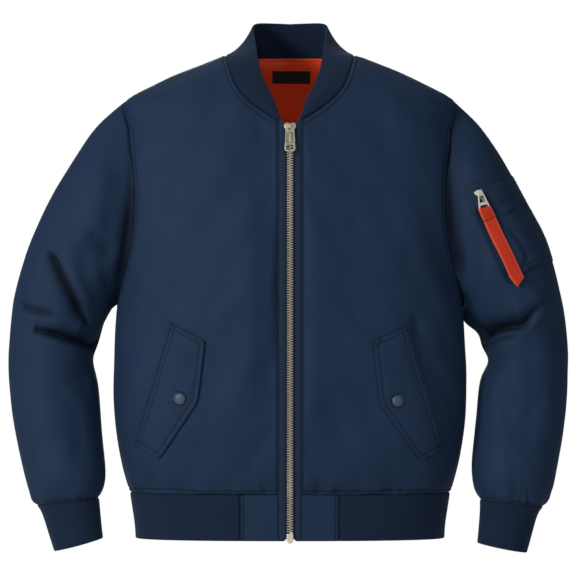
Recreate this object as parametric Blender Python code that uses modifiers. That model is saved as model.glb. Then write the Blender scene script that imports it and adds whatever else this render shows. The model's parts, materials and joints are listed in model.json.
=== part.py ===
"""Bomber jacket, filled out and hollow: padded shell, rib-knit collar, cuffs and hem, zips, flap pockets.

The wearer faces -Y with their left hand at +X. The origin is the middle of the neck's base, between the
two points where the collar meets the shoulder seams. Tables and sizes are in millimetres.
"""

import math

import bmesh
import bpy
import numpy as np
from mathutils import Matrix, Vector
from mathutils.bvhtree import BVHTree

MM = 0.001

# Cloth
SHELL_WALL = 3.0  # shell cloth, wadding and lining quilted into one
RIB_WALL = 3.0  # rib knit folded double
LINING_WALL = 1.0
FLAP_WALL = 2.2
PATCH_WALL = 1.2
LABEL_WALL = 0.8
RIBBON_WALL = 1.0
SHARP_ANGLE = 40  # degrees; an edge that turns more than this is not shaded smooth
SEAM_GAP = 0.3  # between two pieces that are sewn together
SET_IN_TRIM = 0.4  # taken off the seams of the sleeves and the collar, which turn sharply there

# Body form: every level is a rounded box, its half width at the side seam and its depths from there
BODY_SQUARENESS = 2.5  # 2 would be an ellipse
BODY_COLUMNS = ("height", "half_width", "front", "back")
BODY = (
    (-607, 224, 103, 101),
    (-590, 229.5, 110, 107),
    (-560, 237, 118, 114),
    (-500, 245.5, 123, 116),
    (-426, 246, 123, 112),
    (-353, 242, 122, 111),
    (-300, 239, 122, 112),
    (-220, 238.5, 119, 117),
    (-150, 238, 109.5, 118),
    (-120, 236.5, 103, 116),
    (-90, 234, 94, 111),
    (-59, 228, 84, 102),
    (-39, 192, 77, 94),
    (-24, 160, 71, 87),
    (-10.5, 126, 66, 81),
    (4, 90, 60, 76),
)
HEM = (
    (-671, 216, 97, 95),
    (-655, 217, 98, 96),
    (-636, 219.5, 100, 98),
    (-607, 224, 103, 101),
)
BODY_CORE = -250  # above this height the form is reached by rays that fan out from its middle

# Neckline of the fronts, from the zip up to the shoulder seam; the back's neckline is level
NECKLINE_COLUMNS = ("across", "height")
NECKLINE = (
    (12, -91.5),
    (22.6, -86.7),
    (41.4, -74.6),
    (62.2, -57.6),
    (77.1, -36.4),
    (86.1, -10.4),
    (90, 4),
)

# Upper edge of the collar, by the share of the neck seam from centre front to centre back
COLLAR_COLUMNS = ("share", "across", "depth", "height")
COLLAR = (
    (0, 12.8, -92.6, -88),
    (0.11, 21, -84.5, -63),
    (0.20, 30, -74, -45),
    (0.29, 39.5, -61, -23),
    (0.40, 45, -43, 2),
    (0.505, 48.5, -20, 20),
    (0.60, 52, 8, 37),
    (0.695, 50, 30, 46.5),
    (0.82, 32, 50, 49.5),
    (1, 0, 58, 49),
)
COLLAR_CROWN = 2.5  # how far the collar's middle bows outward

# Armhole: an oval on the body form, centred on the side seam
ARMHOLE_MIDDLE = -202
ARMHOLE_HALF_HEIGHT = 143
ARMHOLE_HALF_ANGLE = 31

# Sleeves: one row for each ring, given by its outermost and innermost points as seen from the front
SLEEVE_COLUMNS = ("outer_x", "outer_z", "inner_x", "inner_z", "half_depth", "middle_y")
SLEEVE_RIGHT = (
    (271.6, -98, 248.5, -350.5, 68, 0),
    (309.4, -152.6, 251.5, -355, 72, 0),
    (341.6, -208.6, 254, -359, 74, 1),
    (364, -261.8, 256.5, -364, 74, 2),
    (380.8, -313.6, 260, -371, 72, 3),
    (389.9, -359.8, 264, -384, 69, 4),
    (393.1, -401.8, 270.2, -404.6, 66, 4),
    (393.4, -429.8, 275.1, -424.2, 63, 3),
    (392, -462, 269.5, -450.8, 64, 0),
    (388.5, -497, 266, -484.4, 63, -6),
    (380.2, -540.4, 262.5, -526.4, 61, -14),
    (368.9, -586.6, 257.6, -571.2, 57, -24),
    (362.6, -606.2, 258.5, -595, 52, -28),
    (359.5, -615.5, 261.5, -605, 48, -30),
    (353, -624, 266, -613.5, 42, -32),
)
SLEEVE_LEFT = (
    (268.8, -99.4, 248, -352, 68, 0),
    (303.8, -152.6, 250.5, -358, 72, 0),
    (334.6, -208.6, 252.5, -363.5, 74, 1),
    (359.8, -260.1, 255, -369, 74, 2),
    (376.6, -322, 260, -378, 72, 3),
    (385, -364, 264.6, -389.2, 69, 4),
    (389.2, -406, 269.5, -406, 66, 4),
    (389.2, -432.6, 277, -424.2, 63, 3),
    (387.8, -464.8, 267.4, -448, 64, 0),
    (385, -498.4, 262.2, -484.4, 63, -6),
    (378.7, -540.4, 257.6, -526.4, 61, -14),
    (369.6, -588, 253.5, -569, 57, -24),
    (364, -606.2, 255.5, -596.4, 52, -28),
    (360.5, -616, 259, -607, 48, -30),
    (353, -626, 264, -616, 42, -32),
)
CUFF_RIGHT = (
    (353, -624, 266, -613.5, 42, -32),
    (345.8, -634.2, 265, -621.6, 38, -34),
    (337.4, -658, 263, -641.2, 36, -39),
    (327.6, -687.4, 259.7, -669.2, 35, -45),
)
CUFF_LEFT = (
    (353, -626, 264, -616, 42, -32),
    (345, -637, 264.3, -628, 38, -34),
    (337.4, -660.8, 262.8, -648.2, 36, -39),
    (329, -689.5, 260, -675.8, 35, -45),
)

# Cells along each seam, the same on both pieces that meet there
TAB_CELLS = 3
HEM_CELLS = 9
NECK_FRONT_CELLS = 7
NECK_BACK_CELLS = 5
SHOULDER_CELLS = 5
SIDE_CELLS = 9
ARMHOLE_CELLS = 11
RIB_ROWS = 2
EASING_ROUNDS = 12
CURVE_STEPS = 1000  # for measuring along a curve
COLLAR_ROWS = 3
CUFF_ROWS = 2

# Front zip
ZIP_EDGE = 16.5  # edge of each front, from the centre line
TAPE_INNER = 2.0
TAPE_WALL = 1.0
TAPE_INSET = 1.0  # the tape lies this far behind the fronts' outer face
TAPE_TOP = -94
TAPE_CORNER = 8.0  # cut off the tape's lower inner corner
TEETH_WIDTH = 4.4
TEETH_RISE = 1.8
TEETH_GAP = 0.5  # between tape and teeth
TEETH_TOP = -115.5
TEETH_BOTTOM = -660
ZIP_ROWS = 18
BOX_WIDTH = 9.2
BOX_HEIGHT = 13.5
BOX_RISE = 3.2

# Slider and pull tab, from the tab's hinge, which runs across the zip
HINGE_HEIGHT = -101.9
SLIDER_HALF = (  # across, up: right half of its outline, from the foot to the notch between its domes
    (4.6, -12.5),
    (5.6, -11.5),
    (5.6, -2.5),
    (8.6, 1.5),
    (8.6, 5.5),
    (5.3, 7.5),
    (3.3, 7.5),
    (0, 5.9),
)
SLIDER_FRONT = 2.9  # from the tape's front face to the plate's front
SLIDER_REAR = 1.5
PLATE_GAP = 0.6  # between the tape and each plate
SLIDER_POST = (2.8, 5.0)  # across, and up from the hinge
BRIDGE_WIDTH = 3.4
BRIDGE_WALL = 1.1
BRIDGE_BORE = 1.5
BRIDGE_SINK = 0.6  # its foot goes this far into the front plate
BRIDGE_STEPS = 12  # round the half turn
BAR_HALF = 0.95  # of the tab's bar, which turns in the bridge
TAB_HALF = (  # across, up: right half of its outline, from the foot up to its bar
    (0, -35.7),
    (5.0, -35.1),
    (6.9, -33.3),
    (7.5, -31.2),
    (6.1, -6.0),
    (6.1, -1.4),
    (4.5, BAR_HALF),
)
TAB_THICKNESS = 1.6
TAB_EYE = (2.3, 4.2)  # half width and reach of the opening that the bridge passes through
TAB_WINDOW = ((0, -33.7), (4.8, -33.0), (4.8, -25.7))  # the opening near its foot, its right half
HINGE_RISE = 1.7  # hinge above the front plate

# Hem tabs, and pocket flaps by their corners as seen from the front
HEM_TAB_EDGE = 69
FLAP_COLUMNS = ("corner", "right_across", "right_height", "left_across", "left_height")
FLAPS = (
    ("sewn top", 162.7, -370.8, 160.2, -374),
    ("free top", 116, -394.5, 113.4, -395.2),
    ("point", 126.4, -478, 123, -481.3),
    ("free foot", 179, -557, 179.4, -560.5),
    ("sewn foot", 214, -538, 211, -542.4),
    ("snap", 150.8, -473.8, 147, -476.9),
)
FLAP_RISE = 0.8  # under the flap
FLAP_CELLS = 5
FLAP_ROWS = 8
SNAP_PROFILE = ((0, 3.4), (3.5, 3.1), (6.2, 2.1), (7.6, 0.9), (8.0, 0), (0, 0))  # radius, height
SNAP_SIDES = 24

# Lining and label, inside the back below the collar
LINING_REACH = (5, 4)  # cells of the back on each side of its centre, and down from the neck
LABEL_SIZE = (54, 17)
LABEL_TOP = -14.4
LABEL_SHIFT = 2
LABEL_CELLS = (8, 2)
LABEL_RISE = 0.8

# Sleeve pocket on the wearer's left: degrees round the ring from its outer side, and ring number
POCKET_BACK = -24
POCKET_FRONT = (70.5, 83)  # beside the zip, at its top and at its foot
POCKET_TOP = (2.45, 0.65)  # at the back and at the front
POCKET_FOOT = (4.4, 4.1)
POCKET_CELLS = (9, 5)
PATCH_RISE = 0.9
SLEEVE_ZIP = ((77, 0.8), (89, 4.1))  # from its top to its foot
SLEEVE_TAPE_HALF = 5.5
SLEEVE_TAPE_RISE = 0.5
SLEEVE_TAPE_WALL = 0.8
SLEEVE_TEETH_HALF = 2.0
SLEEVE_TEETH_RISE = 1.7
SLEEVE_TEETH_WALL = 1.0
SLEEVE_ZIP_CELLS = 7
SLEEVE_SLIDER = (9.0, 11.0, 1.2)  # width, length, height
UPPER_SLEEVE_TURNS = (-60, 120, 3)  # the stretch that carries the pocket: first, last, step
UPPER_SLEEVE_RINGS = 6
RING_STEPS = 20  # from one ring to the next

# Puller and ribbon, as seen from the front
IN_FRONT = -200  # depth of a plane in front of the whole jacket
PULLER_TOP = (261, -186)
PULLER_FOOT = (268.5, -214.6)
PULLER_HALF = (2.8, 9.3)
PULLER_WIRE = 1.3
PULLER_THICKNESS = 1.6
PULLER_BRACE = 0.62  # share of its length at which the crossbar lies
PULLER_RISE = 6.0  # its middle, above the sleeve
RIBBON_TIP = (317.5, -317)
RIBBON_WIDTH = 17.0
RIBBON_LOOP_WIDTH = 13.4  # where it passes through the puller
RIBBON_FOLD = 20.0  # its top end is folded back this far
RIBBON_STEP = 8.0  # over which the single ribbon drops back to the sleeve below the fold
RIBBON_REST = 3.7  # the lower layer's middle, above the sleeve
RIBBON_POINT = 8.0
RIBBON_CELLS = 7
RIBBON_LOOP_CELLS = 6


# ---------------------------------------------------------------- smooth readings


def spline(knots, values):
    """A reader of the natural cubic curve through values, which may be numbers or points."""
    knots = np.asarray(knots, float)
    values = np.asarray(values, float)
    gaps = np.diff(knots)
    count = len(knots)
    system = np.eye(count)
    bends = np.zeros_like(values)
    spread = gaps.reshape((-1,) + (1,) * (values.ndim - 1))
    bends[1:-1] = 6 * np.diff(np.diff(values, axis=0) / spread, axis=0)
    for i in range(1, count - 1):
        system[i, i - 1 : i + 2] = gaps[i - 1], 2 * (gaps[i - 1] + gaps[i]), gaps[i]
    bends = np.linalg.solve(system, bends.reshape(count, -1)).reshape(values.shape)

    def read(at):
        at = np.clip(np.asarray(at, float), knots[0], knots[-1])
        i = np.clip(np.searchsorted(knots, at, "right") - 1, 0, count - 2)
        shape = at.shape + (1,) * (values.ndim - 1)
        after = ((at - knots[i]) / gaps[i]).reshape(shape)
        before = 1 - after
        square = (gaps[i] ** 2).reshape(shape) / 6
        curve = (before**3 - before) * bends[i] + (after**3 - after) * bends[i + 1]
        return before * values[i] + after * values[i + 1] + square * curve

    return read


def table(columns, rows):
    """Readers of a table's other columns by its first one."""
    data = {name: [row[i] for row in rows] for i, name in enumerate(columns)}
    return {name: spline(data[columns[0]], data[name]) for name in columns[1:]}


def run_of(points):
    """The length along points up to each of them."""
    return np.concatenate(([0], np.cumsum(np.linalg.norm(np.diff(points, axis=0), axis=1))))


def evenly(curve, cells, start=0.0, end=1.0):
    """Points of a curve, from start to end of its parameter, spaced evenly along its length."""
    fine = np.linspace(start, end, CURVE_STEPS)
    run = run_of(curve(fine))
    return curve(np.interp(np.linspace(0, run[-1], cells + 1), run, fine))


def unit(vector):
    return vector / np.linalg.norm(vector, axis=-1, keepdims=True)


def outward_of(grid):
    """Outward directions of one open grid."""
    return unit(np.cross(np.gradient(grid, axis=0), np.gradient(grid, axis=1)))


# ---------------------------------------------------------------- body form

LEVELS = table(BODY_COLUMNS, BODY)
HEM_LEVELS = table(BODY_COLUMNS, HEM)


def form_point(angle, height, levels=LEVELS):
    """A point of the form: angle 0 is the centre front, 90 the wearer's left side, 180 the centre back."""
    turn = np.radians(angle)
    side, front = np.sin(turn), np.cos(turn)
    reach = (abs(side) ** BODY_SQUARENESS + abs(front) ** BODY_SQUARENESS) ** (-1 / BODY_SQUARENESS)
    depth = np.where(front > 0, levels["front"](height), levels["back"](height))
    x = side * reach * levels["half_width"](height)
    return np.stack([x, -front * reach * depth, np.broadcast_to(height, x.shape)], axis=-1)


def form_angle(across, height, levels=LEVELS):
    """The angle at which the front of the form is this far from the centre line."""
    share = np.clip(across / levels["half_width"](height), 0, 1)
    return np.degrees(np.arctan2(share, (1 - share**BODY_SQUARENESS) ** (1 / BODY_SQUARENESS)))


def at_front(across, height, levels=LEVELS):
    """The point of the form's front at this distance from the centre line."""
    height = np.asarray(height, float)
    return form_point(form_angle(across, height, levels), height, levels)


def onto_form(points):
    """Moves points along rays from the form's middle until they lie on it."""
    core = np.zeros_like(points)
    core[..., 2] = np.minimum(points[..., 2], BODY_CORE)
    ray = points - core
    near = np.full(points.shape[:-1], 0.3)
    far = np.full(points.shape[:-1], 2.0)
    for _ in range(36):
        middle = (near + far) / 2
        x, y, z = np.moveaxis(core + middle[..., None] * ray, -1, 0)
        depth = np.where(y < 0, LEVELS["front"](z), LEVELS["back"](z))
        level = abs(x / LEVELS["half_width"](z)) ** BODY_SQUARENESS + abs(y / depth) ** BODY_SQUARENESS
        inside = (level < 1) & (z < BODY[-1][0])
        near = np.where(inside, middle, near)
        far = np.where(inside, far, middle)
    return core + near[..., None] * ray


def armhole(turn):
    """A point of the left armhole: turn 0 is its top, 90 its front, 180 the underarm, 270 its back."""
    turn = np.radians(turn)
    angle = 90 - ARMHOLE_HALF_ANGLE * np.sin(turn)
    return form_point(angle, ARMHOLE_MIDDLE + ARMHOLE_HALF_HEIGHT * np.cos(turn))


def neckline():
    """The front neck seam as a curve from 0 at the zip to 1 at the shoulder."""
    rows = np.array(NECKLINE, float)
    run = run_of(rows)
    place = table(("share",) + NECKLINE_COLUMNS, np.column_stack([run / run[-1], rows]))

    def curve(share):
        return at_front(place["across"](share), place["height"](share))

    return curve


# ---------------------------------------------------------------- seams and panels


def patch(bottom, top, left, right):
    """Points between four edges that meet at their corners: a grid [across, up]."""
    u = np.linspace(0, 1, len(bottom))[:, None, None]
    v = np.linspace(0, 1, len(left))[None, :, None]
    level = (1 - v) * bottom[:, None] + v * top[:, None]
    upright = (1 - u) * left[None] + u * right[None]
    corners = (1 - u) * ((1 - v) * bottom[0] + v * top[0]) + u * ((1 - v) * bottom[-1] + v * top[-1])
    return level + upright - corners


def panel(bottom, top, left, right):
    """A body panel: its edges are kept, and the points between them are eased apart on the body form."""
    grid = patch(bottom, top, left, right)
    for _ in range(EASING_ROUNDS):
        eased = (grid[2:, 1:-1] + grid[:-2, 1:-1] + grid[1:-1, 2:] + grid[1:-1, :-2]) / 4
        grid[1:-1, 1:-1] = onto_form(eased)
    return grid


def joined(*runs):
    """Edge runs end to end, each shared corner once."""
    return np.concatenate([runs[0]] + [run[1:] for run in runs[1:]])


def mirrored(grid):
    """The same grid on the wearer's other side, still running the same way round the body."""
    return grid[::-1] * (-1, 1, 1)


def share_at(curve, across):
    """The share of the neckline at which it is this far from the centre line."""
    fine = np.linspace(0, 0.5, CURVE_STEPS)
    return float(np.interp(across, curve(fine)[:, 0], fine))


def body_seams():
    """The left half's seams, each run in the direction that its name gives."""
    hem_height = BODY[0][0]
    shoulder_tip = ARMHOLE_MIDDLE + ARMHOLE_HALF_HEIGHT
    underarm = ARMHOLE_MIDDLE - ARMHOLE_HALF_HEIGHT
    neck = neckline()
    neck_start = share_at(neck, ZIP_EDGE)
    tab_angle = form_angle(HEM_TAB_EDGE, hem_height)
    edge_angle = form_angle(ZIP_EDGE, hem_height)
    top_height = float(neck(np.array([neck_start]))[0, 2])
    turns = np.linspace(180, 0, ARMHOLE_CELLS + 1)
    zip_heights = np.linspace(hem_height, top_height, SIDE_CELLS + ARMHOLE_CELLS + 1)
    return {
        "hem_tab": evenly(lambda t: form_point(t, hem_height), TAB_CELLS, edge_angle, tab_angle),
        "hem_front": evenly(lambda t: form_point(t, hem_height), HEM_CELLS, tab_angle, 90),
        "hem_back": evenly(lambda t: form_point(t, hem_height), SHOULDER_CELLS + NECK_BACK_CELLS, 90, 180),
        "neck_front": evenly(neck, NECK_FRONT_CELLS, neck_start, 1),
        "neck_back": evenly(lambda t: form_point(t, float(BODY[-1][0])), NECK_BACK_CELLS, 90, 180),
        "shoulder": evenly(lambda t: form_point(90.0, t), SHOULDER_CELLS, BODY[-1][0], shoulder_tip),
        "side": evenly(lambda t: form_point(90.0, t), SIDE_CELLS, hem_height, underarm),
        "armhole_front": armhole(turns),
        "armhole_back": armhole(360 - turns),
        "zip": at_front(ZIP_EDGE, zip_heights),
    }


def collar_grid(seams):
    """The collar from its neck seam up to its free edge, from the left point round to the right one."""
    seam = joined(seams["neck_front"], seams["neck_back"])
    run = run_of(seam)
    edge = table(COLLAR_COLUMNS, COLLAR)
    share = run / run[-1]
    top = np.stack([edge[name](share) for name in COLLAR_COLUMNS[1:]], axis=-1)
    rise = np.linspace(0, 1, COLLAR_ROWS + 1)[None, :, None]
    half = (1 - rise) * seam[:, None] + rise * top[:, None]
    half += outward_of(half) * COLLAR_CROWN * np.sin(math.pi * rise)
    half[-1, :, 0] = 0
    return joined(half, mirrored(half))


def hem_grids(seams):
    """The hem's left tab and the left half of its rib, on the hem's own form up to the body's seam."""
    heights = np.linspace(HEM[0][0], HEM[-1][0], RIB_ROWS + 1)
    seam_height = HEM[-1][0]
    tab_angle = form_angle(HEM_TAB_EDGE, seam_height)
    front_share = (surface_angle(seams["hem_front"]) - tab_angle) / (90 - tab_angle)
    tab, front, back = [], [], []
    for height in heights:
        edge = form_angle(HEM_TAB_EDGE, height, HEM_LEVELS)
        tab.append(at_front(seams["hem_tab"][:, 0], np.full(TAB_CELLS + 1, height), HEM_LEVELS))
        front.append(form_point(edge + (90 - edge) * front_share, height, HEM_LEVELS))
        back.append(form_point(surface_angle(seams["hem_back"]), height, HEM_LEVELS))
    tab[-1], front[-1], back[-1] = seams["hem_tab"], seams["hem_front"], seams["hem_back"]
    return np.stack(tab, axis=1), joined(np.stack(front, axis=1), np.stack(back, axis=1))


def surface_angle(points):
    """The form's angle at points of the hem seam."""
    depth = np.where(points[:, 1] < 0, BODY[0][2], BODY[0][3])
    return np.degrees(np.arctan2(points[:, 0] / BODY[0][1], -points[:, 1] / depth))


# ---------------------------------------------------------------- sleeves


def ring(row, turn):
    """A sleeve ring of the left side: turn 0 is its outermost point, 90 its front, 180 its innermost."""
    size = dict(zip(SLEEVE_COLUMNS, row))
    turn = np.radians(turn)
    outer = (1 + np.cos(turn)) / 2
    x = outer * size["outer_x"] + (1 - outer) * size["inner_x"]
    z = outer * size["outer_z"] + (1 - outer) * size["inner_z"]
    return np.stack([x, size["middle_y"] - size["half_depth"] * np.sin(turn), z], axis=-1)


def sleeve_tube(rows, turns):
    """A reader of the sleeve's rings at these turns; ring 0 is the armhole."""
    rings = np.array([armhole(turns)] + [ring(row, turns) for row in rows])
    return spline(np.arange(len(rings)), rings)


def sleeve_grid(rows):
    turns = np.linspace(0, 360, 2 * ARMHOLE_CELLS, endpoint=False)
    stations = np.concatenate(([0, 0.5], np.arange(1, len(rows) + 1)))
    return sleeve_tube(rows, turns)(stations).transpose(1, 0, 2)


def cuff_grid(rows):
    turns = np.linspace(0, 360, 2 * ARMHOLE_CELLS, endpoint=False)
    rings = np.array([ring(row, turns) for row in rows])
    stations = np.linspace(0, len(rows) - 1, CUFF_ROWS + 1)
    return spline(np.arange(len(rows)), rings)(stations).transpose(1, 0, 2)


# ---------------------------------------------------------------- solids


def seam_normals(grids, rings):
    """Outward directions at every point, shared where the grids meet, so that their walls stay flush."""
    points = np.concatenate([grid.reshape(-1, 3) for grid in grids.values()])
    _, first, shared = np.unique(np.round(points, 3), axis=0, return_index=True, return_inverse=True)
    shared = shared.reshape(-1)
    places, faces, start = {}, [], 0
    for name, grid in grids.items():
        across, up = grid.shape[:2]
        places[name] = shared[start : start + across * up].reshape(across, up)
        start += across * up
        around = np.concatenate([places[name], places[name][:1]]) if name in rings else places[name]
        corners = around[:-1, :-1], around[1:, :-1], around[1:, 1:], around[:-1, 1:]
        faces += np.stack(corners, axis=-1).reshape(-1, 4).tolist()
    skin = bpy.data.meshes.new("skin")
    skin.from_pydata(points[first].tolist(), [], faces)
    directions = np.array([vertex.normal for vertex in skin.vertices])
    bpy.data.meshes.remove(skin)
    return {name: directions[index] for name, index in places.items()}


def beside(run, normals, closed):
    """At each point of a seam, the way across it: square to the seam and to the normals."""
    if closed:
        run = np.concatenate([run[-1:], run, run[:1]])
        normals = np.concatenate([normals[-1:], normals, normals[:1]])
    square = unit(np.cross(np.diff(run, axis=0), normals[1:] + normals[:-1]))
    inner = unit(square[1:] + square[:-1])
    return inner if closed else np.concatenate([square[:1], inner, square[-1:]])


def trimmed(grid, normals, closed, trim=SEAM_GAP / 2):
    """The grid with its edges pulled in by this much."""
    pulled = grid.copy()
    for edge, way in ((0, -1), (-1, 1)):
        pulled[:, edge] += way * trim * beside(grid[:, edge], normals[:, edge], closed)
        if not closed:
            pulled[edge] -= way * trim * beside(grid[edge], normals[edge], False)
    return pulled


def wall(name, outer, inner, material, closed=False):
    """A solid between two grids of matching points; a closed one joins its last column to its first."""
    across, up = outer.shape[:2]
    points = np.concatenate([outer.reshape(-1, 3), inner.reshape(-1, 3)]) * MM
    skin = len(points) // 2
    spans = across if closed else across - 1

    def at(i, j, layer=0):
        return layer * skin + (i % across) * up + j

    faces = []
    for i in range(spans):
        for j in range(up - 1):
            faces.append((at(i, j), at(i + 1, j), at(i + 1, j + 1), at(i, j + 1)))
            faces.append((at(i, j, 1), at(i, j + 1, 1), at(i + 1, j + 1, 1), at(i + 1, j, 1)))
        faces.append((at(i, 0, 1), at(i + 1, 0, 1), at(i + 1, 0), at(i, 0)))
        faces.append((at(i, up - 1), at(i + 1, up - 1), at(i + 1, up - 1, 1), at(i, up - 1, 1)))
    if not closed:
        for j in range(up - 1):
            faces.append((at(0, j), at(0, j + 1), at(0, j + 1, 1), at(0, j, 1)))
            faces.append((at(spans, j, 1), at(spans, j + 1, 1), at(spans, j + 1), at(spans, j)))
    mesh = bpy.data.meshes.new(name)
    mesh.from_pydata(points.tolist(), [], faces)
    mesh.shade_smooth()
    mesh.set_sharp_from_angle(angle=math.radians(SHARP_ANGLE))
    return placed(name, mesh, material)


def placed(name, mesh, material):
    """A new object of the jacket with its material."""
    thing = bpy.data.objects.new(name, mesh)
    thing.data.materials.append(material)
    JACKET.objects.link(thing)
    return thing


def finish(name, colour, roughness, metallic=0.0):
    material = bpy.data.materials.new(name)
    material.use_nodes = True
    shader = material.node_tree.nodes["Principled BSDF"]
    shader.inputs["Base Color"].default_value = (*colour, 1)
    shader.inputs["Roughness"].default_value = roughness
    shader.inputs["Metallic"].default_value = metallic
    return material


def make_shell(grids, cloth):
    """The cut pieces of cloth, each a wall inside its own grid."""
    rings = ("sleeve_left", "sleeve_right", "cuff_left", "cuff_right")
    normals = seam_normals(grids, rings)
    for name, grid in grids.items():
        closed = name in rings
        material, thickness = cloth[name]
        set_in = name in ("sleeve_left", "sleeve_right", "collar")
        outer = trimmed(grid, normals[name], closed, SET_IN_TRIM if set_in else SEAM_GAP / 2)
        wall(name, outer, outer - normals[name] * thickness, material, closed)
    return normals


# ---------------------------------------------------------------- front zip


def zip_frame(height):
    """The centre front at this height, and its outward direction there."""

    def depth(z):
        return np.where(z < BODY[0][0], HEM_LEVELS["front"](z), LEVELS["front"](z))

    height = np.asarray(height, float)
    slope = depth(height + 1) - depth(height - 1)
    nothing = np.zeros_like(height)
    point = np.stack([nothing, -depth(height), height], axis=-1)
    return point, unit(np.stack([nothing, nothing - 2, -slope], axis=-1))


def zip_band(name, columns, feet, top, rise, thickness, material):
    """A band along the zip, its outer face at rise in front of the cloth; each column has its own foot."""
    heights = np.array([np.linspace(foot, top, ZIP_ROWS + 1) for foot in feet])
    point, outward = zip_frame(heights)
    outer = point + rise * outward + np.array(columns, float)[:, None, None] * (1, 0, 0)
    wall(name, outer, outer - thickness * outward, material)


def make_front_zip(tape_cloth, metal):
    foot = HEM[0][0]
    corner = TAPE_CORNER
    columns = (TAPE_INNER, TAPE_INNER + corner, ZIP_EDGE - SEAM_GAP)
    feet = (foot + corner, foot, foot)
    teeth = (SEAM_GAP / 2, SEAM_GAP / 2 + TEETH_WIDTH)
    rise = TEETH_GAP + TEETH_RISE - TAPE_INSET
    for side, way in (("left", 1), ("right", -1)):
        across = [way * x for x in columns][::way]
        zip_band(f"zip_tape_{side}", across, feet[::way], TAPE_TOP, -TAPE_INSET, TAPE_WALL, tape_cloth)
        across = [way * x for x in teeth][::way]
        zip_band(f"zip_teeth_{side}", across, [TEETH_BOTTOM] * 2, TEETH_TOP, rise, TEETH_RISE, metal)


def placing(height, rise):
    """The frame of a piece on the zip: X across, Y up the zip, Z out of the cloth."""
    point, outward = zip_frame(height)
    return facing_frame(point + rise * outward, outward, (1, 0, 0))


def facing_frame(origin, outward, across):
    """A matrix with Z along outward and X along across, as near as it can be."""
    z_axis = Vector(outward).normalized()
    y_axis = z_axis.cross(Vector(across)).normalized()
    turn = Matrix((y_axis.cross(z_axis), y_axis, z_axis)).transposed().to_4x4()
    return Matrix.Translation(Vector(origin) * MM) @ turn


def flat_solid(name, outlines, thickness):
    """A mesh of flat outlines (later ones are holes) extruded by thickness, centred on Z = 0."""
    curve = bpy.data.curves.new(name, "CURVE")
    curve.dimensions = "2D"
    curve.fill_mode = "BOTH"
    curve.extrude = thickness / 2 * MM
    for outline in outlines:
        line = curve.splines.new("POLY")
        line.use_cyclic_u = True
        line.points.add(len(outline) - 1)
        for point, (x, y) in zip(line.points, outline):
            point.co = (x * MM, y * MM, 0, 1)
    holder = bpy.data.objects.new(name, curve)
    bpy.context.scene.collection.objects.link(holder)
    mesh = bpy.data.meshes.new_from_object(holder.evaluated_get(bpy.context.evaluated_depsgraph_get()))
    bpy.data.objects.remove(holder)
    bpy.data.curves.remove(curve)
    work = bmesh.new()
    work.from_mesh(mesh)
    bmesh.ops.remove_doubles(work, verts=work.verts, dist=1e-6)
    bmesh.ops.recalc_face_normals(work, faces=work.faces)
    work.to_mesh(mesh)
    work.free()
    return mesh


def block(name, size, centre):
    """A mesh of a plain block."""
    mesh = bpy.data.meshes.new(name)
    work = bmesh.new()
    place = Matrix.Translation(Vector(centre) * MM) @ Matrix.Diagonal((*size, 1))
    bmesh.ops.create_cube(work, size=MM, matrix=place)
    work.to_mesh(mesh)
    work.free()
    return mesh


def arc(centre, radius, start, end, steps):
    """Points of an arc; angles in degrees, anticlockwise from +X."""
    angles = [math.radians(start + (end - start) * i / steps) for i in range(steps + 1)]
    return [(centre[0] + radius * math.cos(a), centre[1] + radius * math.sin(a)) for a in angles]


def united(name, meshes, material):
    """One solid from overlapping meshes; the first gives the object, the others are cutters."""
    thing = placed(name, meshes[0], material)
    for number, mesh in enumerate(meshes[1:], 1):
        tool = bpy.data.objects.new(f"{name}_tool_{number}", mesh)
        tool.hide_render = True
        tool.display_type = "WIRE"
        TOOLS.objects.link(tool)
        tool.parent = thing
        union = thing.modifiers.new(f"join_{number}", "BOOLEAN")
        union.operation = "UNION"
        union.object = tool
    return thing


def make_slider(metal):
    """The slider's plates, post and bridge, in a frame whose origin is the tab's hinge."""
    outline = list(SLIDER_HALF) + [(-across, up) for across, up in SLIDER_HALF[-2::-1]]
    tape_front = -HINGE_RISE - SLIDER_FRONT
    plates = (
        ("slider_front", SLIDER_FRONT - PLATE_GAP, tape_front + PLATE_GAP),
        ("slider_rear", SLIDER_REAR, tape_front - TAPE_WALL - PLATE_GAP - SLIDER_REAR),
    )
    meshes = []
    for name, thickness, rear_face in plates:
        meshes.append(flat_solid(name, [outline], thickness))
        meshes[-1].transform(Matrix.Translation((0, 0, (rear_face + thickness / 2) * MM)))
    width, height = SLIDER_POST
    depth = SLIDER_FRONT + SLIDER_REAR + TAPE_WALL
    post_middle = tape_front + SLIDER_FRONT - (depth + PLATE_GAP) / 2
    meshes.append(block("slider_post", (width, height, depth), (0, height / 2, post_middle)))
    outer = BRIDGE_BORE + BRIDGE_WALL
    foot = -HINGE_RISE - BRIDGE_SINK
    arch = [(-outer, foot), (outer, foot)] + arc((0, 0), outer, 0, 180, BRIDGE_STEPS)
    bore = arc((0, 0), BRIDGE_BORE, 0, 360, 2 * BRIDGE_STEPS)[:-1]
    bridge = flat_solid("slider_bridge", [arch, bore], BRIDGE_WIDTH)
    bridge.transform(Matrix(((0, 0, 1, 0), (1, 0, 0, 0), (0, 1, 0, 0), (0, 0, 0, 1))))
    slider = united("zip_slider", meshes + [bridge], metal)
    slider.matrix_world = hinge_frame()


def hinge_frame():
    return placing(HINGE_HEIGHT, -TAPE_INSET + SLIDER_FRONT + HINGE_RISE)


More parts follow.
